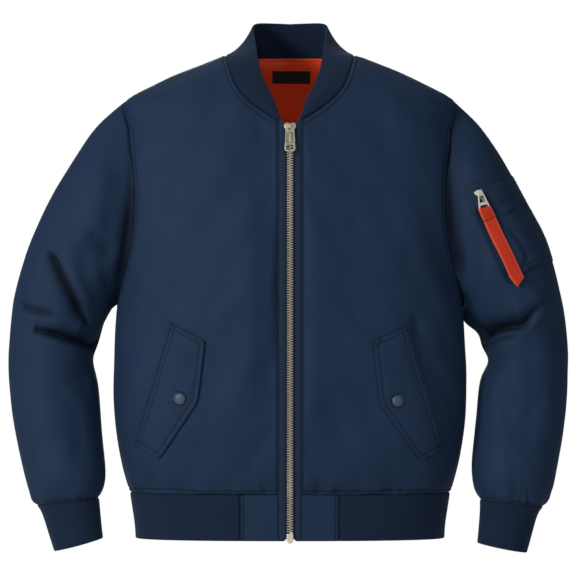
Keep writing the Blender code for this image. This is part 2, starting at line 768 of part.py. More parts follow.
def make_pull_tab(metal):
    """The pull tab, hanging down the zip from its hinge at the object's origin."""
    outline, window = ([*half] + [(-x, y) for x, y in half[:0:-1]] for half in (TAB_HALF, TAB_WINDOW))
    eye_half, eye_reach = TAB_EYE
    eye = [(-eye_half, -BAR_HALF), (-eye_half, -eye_reach), (eye_half, -eye_reach), (eye_half, -BAR_HALF)]
    tab = placed("zip_pull", flat_solid("zip_pull", [outline, eye, window], TAB_THICKNESS), metal)
    tab.matrix_world = hinge_frame()


def make_zip_box(metal):
    """The retainer box at the foot of the zip, with its round end."""
    half = BOX_WIDTH / 2
    outline = [(half, 0), (-half, 0)] + arc((0, -BOX_HEIGHT + half), half, 180, 360, 12)
    box = placed("zip_box", flat_solid("zip_box", [outline], BOX_RISE), metal)
    box.matrix_world = placing(TEETH_BOTTOM - SEAM_GAP, TEETH_GAP - TAPE_INSET + BOX_RISE / 2)


# ---------------------------------------------------------------- pockets, snaps, lining and label


def make_flap(side, way, cloth, snap_finish):
    """A pocket flap and its snap; the flap's rows run from its foot up to its top."""
    first = FLAP_COLUMNS.index(f"{side}_across")
    corner = {row[0]: np.array(row[first : first + 2], float) for row in FLAPS}
    free = joined(
        np.linspace(corner["free foot"], corner["point"], FLAP_ROWS // 2 + 1),
        np.linspace(corner["point"], corner["free top"], FLAP_ROWS // 2 + 1),
    )
    sewn = np.linspace(corner["sewn foot"], corner["sewn top"], len(free))
    share = np.linspace(0, 1, FLAP_CELLS + 1)[:, None, None]
    flat = (1 - share) * free + share * sewn
    base = at_front(flat[..., 0], flat[..., 1])
    outward = outward_of(base)
    if way < 0:
        base, outward = mirrored(base), mirrored(outward)
    inner = base + FLAP_RISE * outward
    wall(f"pocket_flap_{side}", inner + FLAP_WALL * outward, inner, cloth)
    near = corner["snap"] + np.array([[-1, 0], [1, 0], [0, -1], [0, 1], [0, 0]])
    left, right, low, high, middle = at_front(near[:, 0], near[:, 1])
    outward = unit(np.cross(right - left, high - low))
    place = middle + (FLAP_RISE + FLAP_WALL + SEAM_GAP) * outward
    snap = turned(f"snap_{side}", SNAP_PROFILE, SNAP_SIDES, snap_finish)
    snap.matrix_world = facing_frame(place * (way, 1, 1), outward * (way, 1, 1), (1, 0, 0))


def turned(name, profile, sides, material):
    """A piece turned about its Z axis from (radius, height) points, top to bottom."""
    mesh = bpy.data.meshes.new(name)
    points = [(radius * MM, 0, height * MM) for radius, height in profile]
    mesh.from_pydata(points, [(i, i + 1) for i in range(len(points) - 1)], [])
    thing = placed(name, mesh, material)
    screw = thing.modifiers.new("turn", "SCREW")
    screw.steps = screw.render_steps = sides
    screw.use_merge_vertices = True
    screw.merge_threshold = 1e-6
    return thing


def make_lining(back, normals, cloth, label_cloth):
    """The lining inside the back of the neck, and the label on it."""
    beside, down = LINING_REACH
    middle = len(back) // 2
    part = (slice(middle - beside, middle + beside + 1), slice(-1 - down, None))
    outer = trimmed(back, normals, False)[part] - normals[part] * (SHELL_WALL + SEAM_GAP)
    inner = outer - normals[part] * LINING_WALL
    wall("lining_back", outer, inner, cloth)
    face = tree_of(inner)
    width, height = LABEL_SIZE
    across = LABEL_SHIFT + np.linspace(width / 2, -width / 2, LABEL_CELLS[0] + 1)
    heights = np.linspace(LABEL_TOP - height, LABEL_TOP, LABEL_CELLS[1] + 1)
    points = np.array([[cast(face, (x, 0, z), (0, 1, 0))[0] for z in heights] for x in across])
    inward = -outward_of(points)
    rear = points + LABEL_RISE * inward
    wall("neck_label", rear, rear + LABEL_WALL * inward, label_cloth)


def tree_of(grid):
    """A search tree over a grid's cells."""
    across, up = grid.shape[:2]
    faces = []
    for i in range(across - 1):
        for j in range(up - 1):
            a = i * up + j
            faces.append((a, a + up, a + up + 1, a + 1))
    return BVHTree.FromPolygons(grid.reshape(-1, 3).tolist(), faces)


def cast(tree, origin, direction):
    """Where a ray meets the grid, and the grid's direction there."""
    point, normal, _, _ = tree.ray_cast(Vector(origin), Vector(direction))
    return np.array(point), np.array(normal)


# ---------------------------------------------------------------- sleeve pocket


def sleeve_reader(rows):
    """A reader of the sleeve's surface at any turns and ring numbers, through a close grid."""
    first, last, step = UPPER_SLEEVE_TURNS
    turns = np.arange(first, last + step, step, dtype=float)
    rings = np.linspace(0, UPPER_SLEEVE_RINGS, UPPER_SLEEVE_RINGS * RING_STEPS + 1)
    grid = sleeve_tube(rows, turns)(rings).transpose(1, 0, 2)

    def read(turn, along):
        u = (np.asarray(turn, float) - first) / step
        v = np.asarray(along, float) * RING_STEPS
        i, j = np.floor(u).astype(int), np.floor(v).astype(int)
        u, v = (u - i)[..., None], (v - j)[..., None]
        low = (1 - u) * grid[i, j] + u * grid[i + 1, j]
        high = (1 - u) * grid[i, j + 1] + u * grid[i + 1, j + 1]
        return (1 - v) * low + v * high

    return read, grid


def make_sleeve_pocket(cloth, tape_cloth, metal, ribbon_cloth):
    """The pocket on the wearer's left sleeve: patch, slanted zip, slider, puller and ribbon."""
    surface, grid = sleeve_reader(SLEEVE_LEFT)
    share = np.linspace(0, 1, POCKET_CELLS[0] + 1)[:, None]
    down = np.linspace(0, 1, POCKET_CELLS[1] + 1)[None, :]
    front = POCKET_FRONT[0] + (POCKET_FRONT[1] - POCKET_FRONT[0]) * down
    top = POCKET_TOP[0] + (POCKET_TOP[1] - POCKET_TOP[0]) * share**2
    foot = POCKET_FOOT[0] + (POCKET_FOOT[1] - POCKET_FOOT[0]) * share
    base = surface(POCKET_BACK + (front - POCKET_BACK) * share, top + (foot - top) * down)
    outward = outward_of(base)
    inner = base + PATCH_RISE * outward
    wall("sleeve_pocket", inner + PATCH_WALL * outward, inner, cloth)

    run = np.linspace(0, 1, SLEEVE_ZIP_CELLS + 1)
    turn, ring_number = (start + (end - start) * run for start, end in zip(*SLEEVE_ZIP))
    line, outward = surface(turn, ring_number), facing(surface, turn, ring_number)
    across = unit(np.cross(outward, np.gradient(line, axis=0)))
    bands = (
        ("sleeve_zip_tape", SLEEVE_TAPE_HALF, SLEEVE_TAPE_RISE, SLEEVE_TAPE_WALL, tape_cloth),
        ("sleeve_zip_teeth", SLEEVE_TEETH_HALF, SLEEVE_TEETH_RISE, SLEEVE_TEETH_WALL, metal),
    )
    for name, half, rise, thickness, material in bands:
        middle = line + rise * outward
        inner = np.stack([middle + half * across, middle - half * across])
        wall(name, inner + thickness * outward, inner, material)
    make_sleeve_slider(line, outward, across, metal)
    tree = tree_of(grid)
    make_puller(tree, metal)
    make_ribbon(tree, ribbon_cloth)


def facing(surface, turn, ring_number):
    """Outward directions of a sleeve's surface."""
    round_it = surface(turn + 1, ring_number) - surface(turn - 1, ring_number)
    down_it = surface(turn, ring_number + 0.05) - surface(turn, ring_number - 0.05)
    return unit(np.cross(round_it, down_it))


def make_sleeve_slider(line, outward, across, metal):
    width, length, height = SLEEVE_SLIDER
    half = [(width / 4, -length / 2), (width * 3 / 8, -length / 4)]
    half += [(width / 2, length / 4), (width / 4, length / 2)]
    outline = half + [(-x, y) for x, y in half[::-1]]
    slider = placed("sleeve_slider", flat_solid("sleeve_slider", [outline], height), metal)
    rise = SLEEVE_TEETH_RISE + SLEEVE_TEETH_WALL + SEAM_GAP + height / 2
    slider.matrix_world = facing_frame(line[0] + rise * outward[0], outward[0], across[0])


def seen_at(tree, place):
    """The sleeve's point and outward direction that show at this place from the front."""
    point, normal = cast(tree, (place[0], IN_FRONT, place[1]), (0, 1, 0))
    return point, normal * (1 if normal[1] < 0 else -1)


def puller_frame(tree):
    """The middle of the puller's foot, and the puller's downward, outward and crosswise directions."""
    top, _ = seen_at(tree, PULLER_TOP)
    foot, outward = seen_at(tree, PULLER_FOOT)
    down = unit(foot - top)
    outward = unit(outward - np.dot(outward, down) * down)
    reach = float(np.linalg.norm(foot - top))
    return foot + PULLER_RISE * outward, down, outward, np.cross(outward, down), reach


def make_puller(tree, metal):
    """The ring that joins the ribbon to the sleeve's slider, with its crossbar."""
    foot, down, outward, across, reach = puller_frame(tree)
    length = reach + PULLER_WIRE / 2
    slim, wide = PULLER_HALF
    brace = length * PULLER_BRACE

    def opening(start, end):
        half = [slim + (wide - slim) * below / length - PULLER_WIRE for below in (start, end)]
        return [(-half[0], -start), (-half[1], -end), (half[1], -end), (half[0], -start)]

    right = [(wide, -length), (slim, 0), (slim / 2, slim / 2)]
    outline = right + [(-x, y) for x, y in right[::-1]]
    openings = [opening(PULLER_WIRE, brace), opening(brace + PULLER_WIRE, length - PULLER_WIRE)]
    mesh = flat_solid("sleeve_puller", [outline] + openings, PULLER_THICKNESS)
    puller = placed("sleeve_puller", mesh, metal)
    puller.matrix_world = facing_frame(foot - reach * down, outward, across)


def make_ribbon(tree, cloth):
    """The ribbon, folded round the puller's foot and hanging down the sleeve to its point."""
    bar, _, bar_outward, bar_across, _ = puller_frame(tree)
    share = np.linspace(0, 1, 4)
    places = np.array(PULLER_FOOT) + (np.array(RIBBON_TIP) - PULLER_FOOT) * share[:, None]
    seen = [seen_at(tree, place) for place in places]
    line = spline(share, [bar - PULLER_RISE * bar_outward] + [point for point, _ in seen[1:]])
    facing_line = spline(share, [bar_outward] + [normal for _, normal in seen[1:]])
    length = float(np.linalg.norm(line(1.0) - line(0.0)))
    loop = PULLER_RISE - RIBBON_REST
    upper = RIBBON_REST + RIBBON_WALL + SEAM_GAP
    route = [(RIBBON_FOLD, RIBBON_REST), (RIBBON_FOLD / 2, RIBBON_REST)]
    turns = np.radians(np.linspace(-90, -270, RIBBON_LOOP_CELLS + 1))
    route += [(loop * math.cos(turn), PULLER_RISE + loop * math.sin(turn)) for turn in turns]
    route += [(RIBBON_FOLD / 2, upper), (RIBBON_FOLD, upper), (RIBBON_FOLD + RIBBON_STEP, RIBBON_REST)]
    run = np.linspace(RIBBON_FOLD + 2 * RIBBON_STEP, length - RIBBON_POINT, RIBBON_CELLS)
    route += [(below, RIBBON_REST) for below in run]
    route += [(length, RIBBON_REST)]
    below, rise = np.array(route).T
    along = unit(line(1.0) - line(0.0))
    outward = unit(facing_line(below / length))
    points = line(below / length) + np.minimum(below, 0)[:, None] * along + rise[:, None] * outward
    straight = np.clip(below / RIBBON_FOLD * 2, 0, 1)[:, None]
    across = unit(straight * unit(np.cross(outward, along)) + (1 - straight) * bar_across)
    half = np.where(below < RIBBON_FOLD / 3, RIBBON_LOOP_WIDTH, RIBBON_WIDTH) / 2
    half[-1] = RIBBON_WALL / 2
    thick = RIBBON_WALL / 2 * unit(np.cross(np.gradient(points, axis=0), across))
    middle = np.stack([points + side * half[:, None] * across for side in (1, -1)])
    wall("sleeve_ribbon", middle + thick, middle - thick, cloth)


# ---------------------------------------------------------------- the jacket


def new_collection(name):
    collection = bpy.data.collections.new(name)
    bpy.context.scene.collection.children.link(collection)
    return collection


def make_jacket():
    nylon = finish("navy shell cloth", (0.013, 0.027, 0.068), 0.62)
    rib = finish("navy rib knit", (0.011, 0.022, 0.055), 0.85)
    orange = finish("orange lining cloth", (0.62, 0.07, 0.012), 0.55)
    woven_label = finish("black woven label", (0.01, 0.01, 0.012), 0.7)
    tape_cloth = finish("navy zip tape", (0.012, 0.024, 0.06), 0.75)
    metal = finish("light brass", (0.55, 0.47, 0.33), 0.28, 1.0)
    snap_finish = finish("blue-grey snap enamel", (0.16, 0.2, 0.28), 0.35, 0.6)

    seams = body_seams()
    front = panel(
        joined(seams["hem_tab"], seams["hem_front"]),
        joined(seams["neck_front"], seams["shoulder"]),
        seams["zip"],
        joined(seams["side"], seams["armhole_front"]),
    )
    half_foot = seams["hem_back"]
    half_top = joined(seams["shoulder"][::-1], seams["neck_back"])
    back_edge = joined(seams["side"], seams["armhole_back"])
    back = panel(
        joined(half_foot, mirrored(half_foot)),
        joined(half_top, mirrored(half_top)),
        back_edge,
        back_edge * (-1, 1, 1),
    )
    tab, rib_half = hem_grids(seams)
    grids = {
        "front_left": front,
        "front_right": mirrored(front),
        "back": back,
        "sleeve_left": sleeve_grid(SLEEVE_LEFT),
        "sleeve_right": mirrored(sleeve_grid(SLEEVE_RIGHT)),
        "collar": collar_grid(seams),
        "cuff_left": cuff_grid(CUFF_LEFT),
        "cuff_right": mirrored(cuff_grid(CUFF_RIGHT)),
        "hem_rib": joined(rib_half, mirrored(rib_half)),
        "hem_tab_left": tab,
        "hem_tab_right": mirrored(tab),
    }
    knits = ("collar", "cuff_left", "cuff_right", "hem_rib")
    cloth = {name: (rib, RIB_WALL) if name in knits else (nylon, SHELL_WALL) for name in grids}
    normals = make_shell(grids, cloth)
    make_lining(back, normals["back"], orange, woven_label)
    make_front_zip(tape_cloth, metal)
    make_slider(metal)
    make_pull_tab(metal)
    make_zip_box(metal)
    for side, way in (("left", 1), ("right", -1)):
        make_flap(side, way, nylon, snap_finish)
    make_sleeve_pocket(nylon, tape_cloth, metal, orange)


for old in list(bpy.data.objects):
    bpy.data.objects.remove(old)
JACKET = new_collection("bomber_jacket")
TOOLS = new_collection("cutters")
make_jacket()
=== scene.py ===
import json
import math

import bmesh
import bpy
import numpy as np
from mathutils import Matrix, Vector, noise
from mathutils.bvhtree import BVHTree

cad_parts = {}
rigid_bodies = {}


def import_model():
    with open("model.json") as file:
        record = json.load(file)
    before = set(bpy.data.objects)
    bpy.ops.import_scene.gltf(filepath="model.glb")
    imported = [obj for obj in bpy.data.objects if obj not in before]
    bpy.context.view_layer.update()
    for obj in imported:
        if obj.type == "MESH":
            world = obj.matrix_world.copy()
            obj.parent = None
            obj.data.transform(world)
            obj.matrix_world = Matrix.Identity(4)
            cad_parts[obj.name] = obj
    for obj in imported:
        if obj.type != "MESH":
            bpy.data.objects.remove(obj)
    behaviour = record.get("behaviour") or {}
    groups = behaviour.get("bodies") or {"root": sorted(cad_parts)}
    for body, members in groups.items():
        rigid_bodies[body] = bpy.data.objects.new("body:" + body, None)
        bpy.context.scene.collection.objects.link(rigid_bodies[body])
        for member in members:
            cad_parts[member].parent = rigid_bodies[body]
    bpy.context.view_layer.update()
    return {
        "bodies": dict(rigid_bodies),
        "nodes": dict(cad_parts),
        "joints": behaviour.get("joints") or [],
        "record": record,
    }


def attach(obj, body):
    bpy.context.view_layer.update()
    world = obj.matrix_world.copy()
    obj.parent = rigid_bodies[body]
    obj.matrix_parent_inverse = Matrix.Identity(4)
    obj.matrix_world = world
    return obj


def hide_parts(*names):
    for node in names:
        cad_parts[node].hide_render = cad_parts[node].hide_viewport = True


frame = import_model()
mm = 0.001  # every size below is in millimetres

stage = {
    "eye": (-2.8, -6000, -322),
    "lens": 267.9,
    "floorRadius": 2900,
    "floorHeight": -950,
    # each lamp's place, size, power and colour
    "lamps": {
        "key": ((-2900, -3000, 900), 1000, 162, (1, 0.985, 0.96)),
        "fill": ((2600, -3600, 300), 1800, 30, (0.95, 0.97, 1)),
        "top": ((-300, 900, 2600), 1800, 30, (1, 1, 1)),
        "neck": ((-420, -3600, 1300), 500, 19, (1, 1, 1)),
        "rear": ((-100, 4000, 500), 1800, 50, (1, 1, 1)),
    },
    "aim": (0, 0, -340),
    "ambient": 0.19,
}


def linked(name, data):
    thing = bpy.data.objects.new(name, data)
    bpy.context.scene.collection.objects.link(thing)
    return thing


def makeStage():
    camera = linked("camera", bpy.data.cameras.new("camera"))
    camera.data.lens = stage["lens"]
    camera.data.sensor_width = 36
    camera.data.clip_end = 100
    camera.location = Vector(stage["eye"]) * mm
    camera.rotation_euler = (math.pi / 2, 0, 0)
    bpy.context.scene.camera = camera
    for name, (place, size, power, colour) in stage["lamps"].items():
        lamp = bpy.data.lights.new(name, "AREA")
        lamp.size = size * mm
        lamp.energy = power
        lamp.color = colour
        light = linked(name, lamp)
        light.location = Vector(place) * mm
        way = Vector(stage["aim"]) * mm - light.location
        light.rotation_euler = way.to_track_quat("-Z", "Y").to_euler()
    mesh = bpy.data.meshes.new("floor")
    work = bmesh.new()
    bmesh.ops.create_circle(work, cap_ends=True, segments=96, radius=stage["floorRadius"] * mm)
    work.to_mesh(mesh)
    work.free()
    floor = linked("floor", mesh)
    floor.location.z = stage["floorHeight"] * mm
    paper = Finish("paleFloor", {"Base Color": (0.82, 0.82, 0.82, 1), "Roughness": 0.9})
    floor.data.materials.append(paper.material)
    world = bpy.data.worlds.new("studio")
    world.use_nodes = True
    bpy.context.scene.world = world
    tree = world.node_tree
    seen = tree.nodes.new("ShaderNodeLightPath").outputs["Is Camera Ray"]
    ambient, white = tree.nodes["Background"], tree.nodes.new("ShaderNodeBackground")
    for light, strength in ((ambient, stage["ambient"]), (white, 1)):
        light.inputs["Strength"].default_value = strength
        light.inputs["Color"].default_value = (1, 1, 1, 1)
    choice = tree.nodes.new("ShaderNodeMixShader")
    tree.links.new(seen, choice.inputs[0])
    tree.links.new(ambient.outputs[0], choice.inputs[1])
    tree.links.new(white.outputs[0], choice.inputs[2])
    tree.links.new(choice.outputs[0], tree.nodes["World Output"].inputs[0])
    bpy.context.scene.view_settings.view_transform = "Standard"


class Wire:
    # one output of a node; an expression on it adds its Math nodes
    def __init__(self, finish, socket):
        self.finish = finish
        self.socket = socket

    def maths(self, operation, first, second=0.0):
        return self.finish.add("ShaderNodeMath", {0: first, 1: second}, operation=operation)

    def __add__(self, other):
        return self.maths("ADD", self, other)

    def __sub__(self, other):
        return self.maths("SUBTRACT", self, other)

    def __rsub__(self, other):
        return self.maths("SUBTRACT", other, self)

    def __mul__(self, other):
        return self.maths("MULTIPLY", self, other)

    def __abs__(self):
        return self.maths("ABSOLUTE", self)

    __radd__ = __add__
    __rmul__ = __mul__

    def sine(self):
        return self.maths("SINE", self)

    def wrapped(self, period):
        return self.maths("FLOORED_MODULO", self, period)

    def clipped(self, low, high):
        return self.finish.add("ShaderNodeClamp", {"Value": self, "Min": low, "Max": high})


class Finish:
    def __init__(self, name, fixed):
        self.material = bpy.data.materials.new(name)
        self.material.use_nodes = True
        self.nodes = self.material.node_tree.nodes
        self.links = self.material.node_tree.links
        self.shader = self.nodes["Principled BSDF"]
        for socket, value in fixed.items():
            self.join(self.shader.inputs[socket], value)

    def join(self, socket, value):
        if isinstance(value, Wire):
            self.links.new(value.socket, socket)
        else:
            socket.default_value = value

    def add(self, kind, sockets, out=0, **settings):
        node = self.nodes.new(kind)
        for name, value in settings.items():
            setattr(node, name, value)
        for socket, value in sockets.items():
            self.join(node.inputs[socket], value)
        return Wire(self, node.outputs[out])

    def across(self):
        # the piece's own map in millimetres: across the cloth and along it
        place = self.add("ShaderNodeUVMap", {}, uv_map="cloth")
        parts = self.add("ShaderNodeSeparateXYZ", {0: place})
        return parts, Wire(self, parts.socket.node.outputs[1])

    def withCreaseShade(self, colour, dark):
        # painted shade: the colour goes toward near-black where the mesh lies deep in a fold or a seam
        depth = self.add("ShaderNodeAttribute", {}, "Fac", attribute_name="creaseShade")
        return self.blended(depth * dark, colour, (0.0006, 0.0012, 0.003, 1))

    def cloudy(self, scale, detail=2.0, stretch=(1, 1, 1)):
        # noise of about this many patches to the metre
        place = self.add("ShaderNodeTexCoord", {}, "Object")
        place = self.add("ShaderNodeMapping", {"Vector": place, "Scale": stretch})
        return self.add("ShaderNodeTexNoise", {"Vector": place, "Scale": scale, "Detail": detail})

    def blended(self, factor, first, second):
        return self.add("ShaderNodeMix", {0: factor, 6: first, 7: second}, 2, data_type="RGBA")

    def toned(self, factor, colour, dark, light):
        # from a darker shade of one colour to a lighter one
        return self.blended(factor, shade(colour, dark), shade(colour, light))

    def colour(self, wire):
        self.join(self.shader.inputs["Base Color"], wire)

    def rough(self, wire):
        self.join(self.shader.inputs["Roughness"], wire)

    def bumpy(self, height, distance, strength):
        sockets = {"Height": height, "Distance": distance * mm, "Strength": strength}
        self.join(self.shader.inputs["Normal"], self.add("ShaderNodeBump", sockets))


def shade(colour, times):
    return tuple(part * times for part in colour) + (1,)


def shellCloth():
    look = {
        "navy": (0.0099, 0.0222, 0.051), "shades": (0.8, 1.2), "dark": 0.82,
        "patches": 7, "mottle": 30, "specks": 900,  # to the metre
        "speckle": 0.35, "speckShade": 0.7, "rough": 0.6, "twill": 0.9, "height": 0.035,
    }
    cloth = Finish("navyShellCloth", {"Sheen Weight": 0.02, "Sheen Roughness": 0.4,
                                      "Sheen Tint": (0.5, 0.7, 1, 1), "Specular IOR Level": 0.07})
    tone = cloth.cloudy(look["patches"], 3)
    speck = cloth.cloudy(look["specks"], 1)
    mottle = cloth.cloudy(look["mottle"], 3, (1, 1, 0.6))
    navy = cloth.toned(tone * 0.5 + mottle * 0.5, look["navy"], *look["shades"])
    speckled = cloth.blended(speck * look["speckle"], navy, shade(look["navy"], look["speckShade"]))
    # painted shade: darker deep in the mesh's folds and seams
    cloth.colour(cloth.withCreaseShade(speckled, look["dark"]))
    cloth.rough(look["rough"] + 0.08 * tone)
    across, along = cloth.across()
    turn = 2 * math.pi / look["twill"]
    # the twill's lines and a finer set that crosses them
    weave = ((across + along) * turn).sine() * 0.5 + ((across - along) * (turn * 1.7)).sine() * 0.2
    cloth.bumpy(weave + speck * 0.6, look["height"], 0.5)
    return cloth.material


def innerCloth():
    look = {"orange": (0.82, 0.064, 0.006), "shades": (0.82, 1.12), "rough": 0.42, "weave": 0.6,
            "wrinkles": 60, "wrinkling": 5, "height": 0.05}
    cloth = Finish("orangeLiningCloth", {"Sheen Weight": 0.1, "Specular IOR Level": 0.4})
    tone = cloth.cloudy(16, 2)
    cloth.colour(cloth.toned(tone, look["orange"], *look["shades"]))
    cloth.rough(look["rough"] + 0.1 * tone)
    across, along = cloth.across()
    turn = 2 * math.pi / look["weave"]
    weave = (across * turn).sine() * (along * turn).sine()
    cloth.bumpy(weave + cloth.cloudy(look["wrinkles"], 2) * look["wrinkling"], look["height"], 0.5)
    return cloth.material


def ribKnit():
    look = {
        "navy": (0.0053, 0.0116, 0.027), "between": (0.72, 0.86), "ridge": 1.22, "dark": 0.7,
        "rib": 2.1, "course": 1.3, "lean": 1.2, "rough": 0.82, "height": 0.22,
    }
    knit = Finish("navyRibKnit", {"Sheen Weight": 0.07, "Sheen Roughness": 0.5,
                                  "Sheen Tint": (0.4, 0.6, 1, 1), "Specular IOR Level": 0.08})
    across, along = knit.across()
    ribs = abs((across * (math.pi / look["rib"])).sine())
    loops = abs((along * (math.pi / look["course"]) + ribs * look["lean"]).sine())
    tone = knit.cloudy(9, 2)
    depth = (ribs * 0.75 + loops * 0.25).clipped(0, 1)
    low = knit.toned(tone, look["navy"], *look["between"])
    # painted shade: darker deep in the knit's folds and seams
    knit.colour(knit.withCreaseShade(knit.blended(depth, low, shade(look["navy"], look["ridge"])), look["dark"]))
    knit.rough(look["rough"] + 0.1 * tone)
    knit.bumpy(ribs + loops * 0.3, look["height"], 0.6)
    return knit.material


def tapeCloth():
    look = {"blue": (0.0085, 0.021, 0.048), "shades": (0.6, 1.35), "dark": 0.85,
            "stripe": 3.3, "pick": 0.85, "rough": 0.68, "height": 0.1}
    tape = Finish("herringboneTape", {"Sheen Weight": 0.05, "Specular IOR Level": 0.1})
    across, along = tape.across()
    fold = abs(across.wrapped(look["stripe"]) - look["stripe"] / 2)
    picks = ((along + fold) * (2 * math.pi / look["pick"])).sine()
    light = (picks * 0.5 + 0.5).clipped(0, 1)
    # painted shade: darker where the tape's crease values are high, beside the teeth
    tape.colour(tape.withCreaseShade(tape.toned(light, look["blue"], *look["shades"]), look["dark"]))
    tape.rough(look["rough"] + 0.1 * light)
    tape.bumpy(picks, look["height"], 0.7)
    return tape.material


def brass(name, colour, tarnish, rough=0.36):
    look = {"shades": (1.0, 0.55), "wear": 260, "stains": 55, "height": 0.03}
    metal = Finish(name, {"Metallic": 0.8})
    worn = metal.cloudy(look["wear"], 3)
    dull = (metal.cloudy(look["stains"], 2) * 1.8 - 0.5).clipped(0, 1)
    metal.colour(metal.toned(dull * tarnish, colour, *look["shades"]))
    metal.rough(rough + 0.14 * worn + 0.1 * dull)
    metal.bumpy(worn, look["height"], 0.5)
    return metal.material


def snapEnamel():
    look = {"blue": (0.038, 0.055, 0.088), "shades": (0.7, 1.35), "brush": (1, 1, 26), "rough": 0.5}
    enamel = Finish("snapEnamel", {"Metallic": 0.4, "Coat Weight": 0.1, "Coat Roughness": 0.4})
    brushed = enamel.cloudy(90, 3, look["brush"])
    enamel.colour(enamel.toned(brushed, look["blue"], *look["shades"]))
    enamel.rough(look["rough"] + 0.14 * brushed)
    enamel.bumpy(brushed, 0.03, 0.5)
    return enamel.material


def ribbonCloth():
    look = {
        "orange": (0.4, 0.021, 0.003), "shades": (0.86, 1.04), "cordShade": 1.12, "shadow": 0.55, "dark": 0.8,
        "edge": (0.5, 0.075, 0.035, 1), "edging": 1.7,
        "cord": 1.1, "width": 17, "rough": 0.6, "height": 0.12,
    }
    ribbon = Finish("orangeRibbon", {"Sheen Weight": 0.03, "Specular IOR Level": 0.2})
    across, along = ribbon.across()
    cords = abs((along * (math.pi / look["cord"])).sine())
    tone = ribbon.cloudy(60, 2)
    low = ribbon.toned(tone, look["orange"], *look["shades"])
    face = ribbon.blended(cords * 0.7, low, shade(look["orange"], look["cordShade"]))
    # painted shade: darker across the ribbon towards one edge
    paintedShade = (1 - across * (1 / look["width"])).clipped(0, 1)
    face = ribbon.blended(paintedShade * 0.45, face, shade(look["orange"], look["shadow"]))
    half = look["width"] / 2
    beside = (abs(across - half) * 1.4 - (half - look["edging"]) * 1.4).clipped(0, 1)
    # painted shade also in the ribbon's crease lines
    ribbon.colour(ribbon.withCreaseShade(ribbon.blended(beside * 0.75, face, look["edge"]), look["dark"]))
    ribbon.rough(look["rough"] + 0.12 * tone)
    ribbon.bumpy(cords, look["height"], 0.6)
    return ribbon.material


def labelCloth():
    look = {"low": (0.0035, 0.0035, 0.004, 1), "high": (0.009, 0.009, 0.011, 1),
            "warp": 0.7, "weft": 0.5, "rough": 0.55, "height": 0.05}
    label = Finish("blackWovenLabel", {"Sheen Weight": 0.1, "Specular IOR Level": 0.35})
    across, along = label.across()
    warp, weft = (2 * math.pi / look[name] for name in ("warp", "weft"))
    threads = (across * warp).sine() * (along * weft).sine()
    light = (threads * 0.5 + 0.5).clipped(0, 1)
    label.colour(label.blended(light, look["low"], look["high"]))
    label.rough(look["rough"] + 0.15 * light)
    label.bumpy(threads, look["height"], 0.6)
    return label.material


def thread(name, colour):
    twist = Finish(name, {"Sheen Weight": 0.03, "Specular IOR Level": 0.15})
    tone = twist.cloudy(700, 1)
    twist.colour(twist.toned(tone, colour, 0.75, 1.2))
    twist.rough(0.5 + 0.15 * tone)
    return twist.material


def spline(knots, values):
    # a reader of the natural cubic curve through values, which may be numbers or points
    knots = np.asarray(knots, float)
    values = np.asarray(values, float)
    gaps = np.diff(knots)
    count = len(knots)
    system = np.eye(count)
    bends = np.zeros_like(values)
    spread = gaps.reshape((-1,) + (1,) * (values.ndim - 1))
    bends[1:-1] = 6 * np.diff(np.diff(values, axis=0) / spread, axis=0)
    for i in range(1, count - 1):
        system[i, i - 1 : i + 2] = gaps[i - 1], 2 * (gaps[i - 1] + gaps[i]), gaps[i]
    bends = np.linalg.solve(system, bends.reshape(count, -1)).reshape(values.shape)

    def read(at):
        at = np.clip(np.asarray(at, float), knots[0], knots[-1])
        i = np.clip(np.searchsorted(knots, at, "right") - 1, 0, count - 2)
        shape = at.shape + (1,) * (values.ndim - 1)
        after = ((at - knots[i]) / gaps[i]).reshape(shape)
        before = 1 - after
        square = (gaps[i] ** 2).reshape(shape) / 6
        curve = (before**3 - before) * bends[i] + (after**3 - after) * bends[i + 1]
        return before * values[i] + after * values[i + 1] + square * curve

    return read


def table(columns, rows):
    data = {name: [row[i] for row in rows] for i, name in enumerate(columns)}
    return {name: spline(data[columns[0]], data[name]) for name in columns[1:]}


def runOf(points):
    return np.concatenate(([0], np.cumsum(np.linalg.norm(np.diff(points, axis=0), axis=1))))


def pointsAt(at, run, points):
    # the points of a line at these runs along it
    return np.stack([np.interp(at, run, points[:, k]) for k in range(points.shape[1])], axis=-1)


def unit(vector):
    return vector / np.maximum(np.linalg.norm(vector, axis=-1, keepdims=True), 1e-9)


def smooth(value):
    value = np.clip(value, 0, 1)
    return value * value * (3 - 2 * value)


def alongCurve(curve, cells, start, end):
    # a reader by cell number, with the cells spaced evenly along the curve
    fine = np.linspace(start, end, 1000)
    run = runOf(curve(fine))
    return lambda at: curve(np.interp(np.asarray(at) / cells * run[-1], run, fine))


def chained(*parts):
    # a reader through several (reader, cells) parts end to end
    def read(at):
        at = np.asarray(at, float)
        result = np.zeros(at.shape + (3,))
        start = 0
        for number, (part, cells) in enumerate(parts):
            last = number == len(parts) - 1
            here = (at >= start - 1e-9) & ((at < start + cells) | last)
            if here.any():
                result[here] = part(np.clip(at[here] - start, 0, cells))
            start += cells
        return result

    return read


def resampled(points, step):
    run = runOf(points)
    count = max(2, int(round(run[-1] / step)) + 1)
    return pointsAt(np.linspace(0, run[-1], count), run, points)


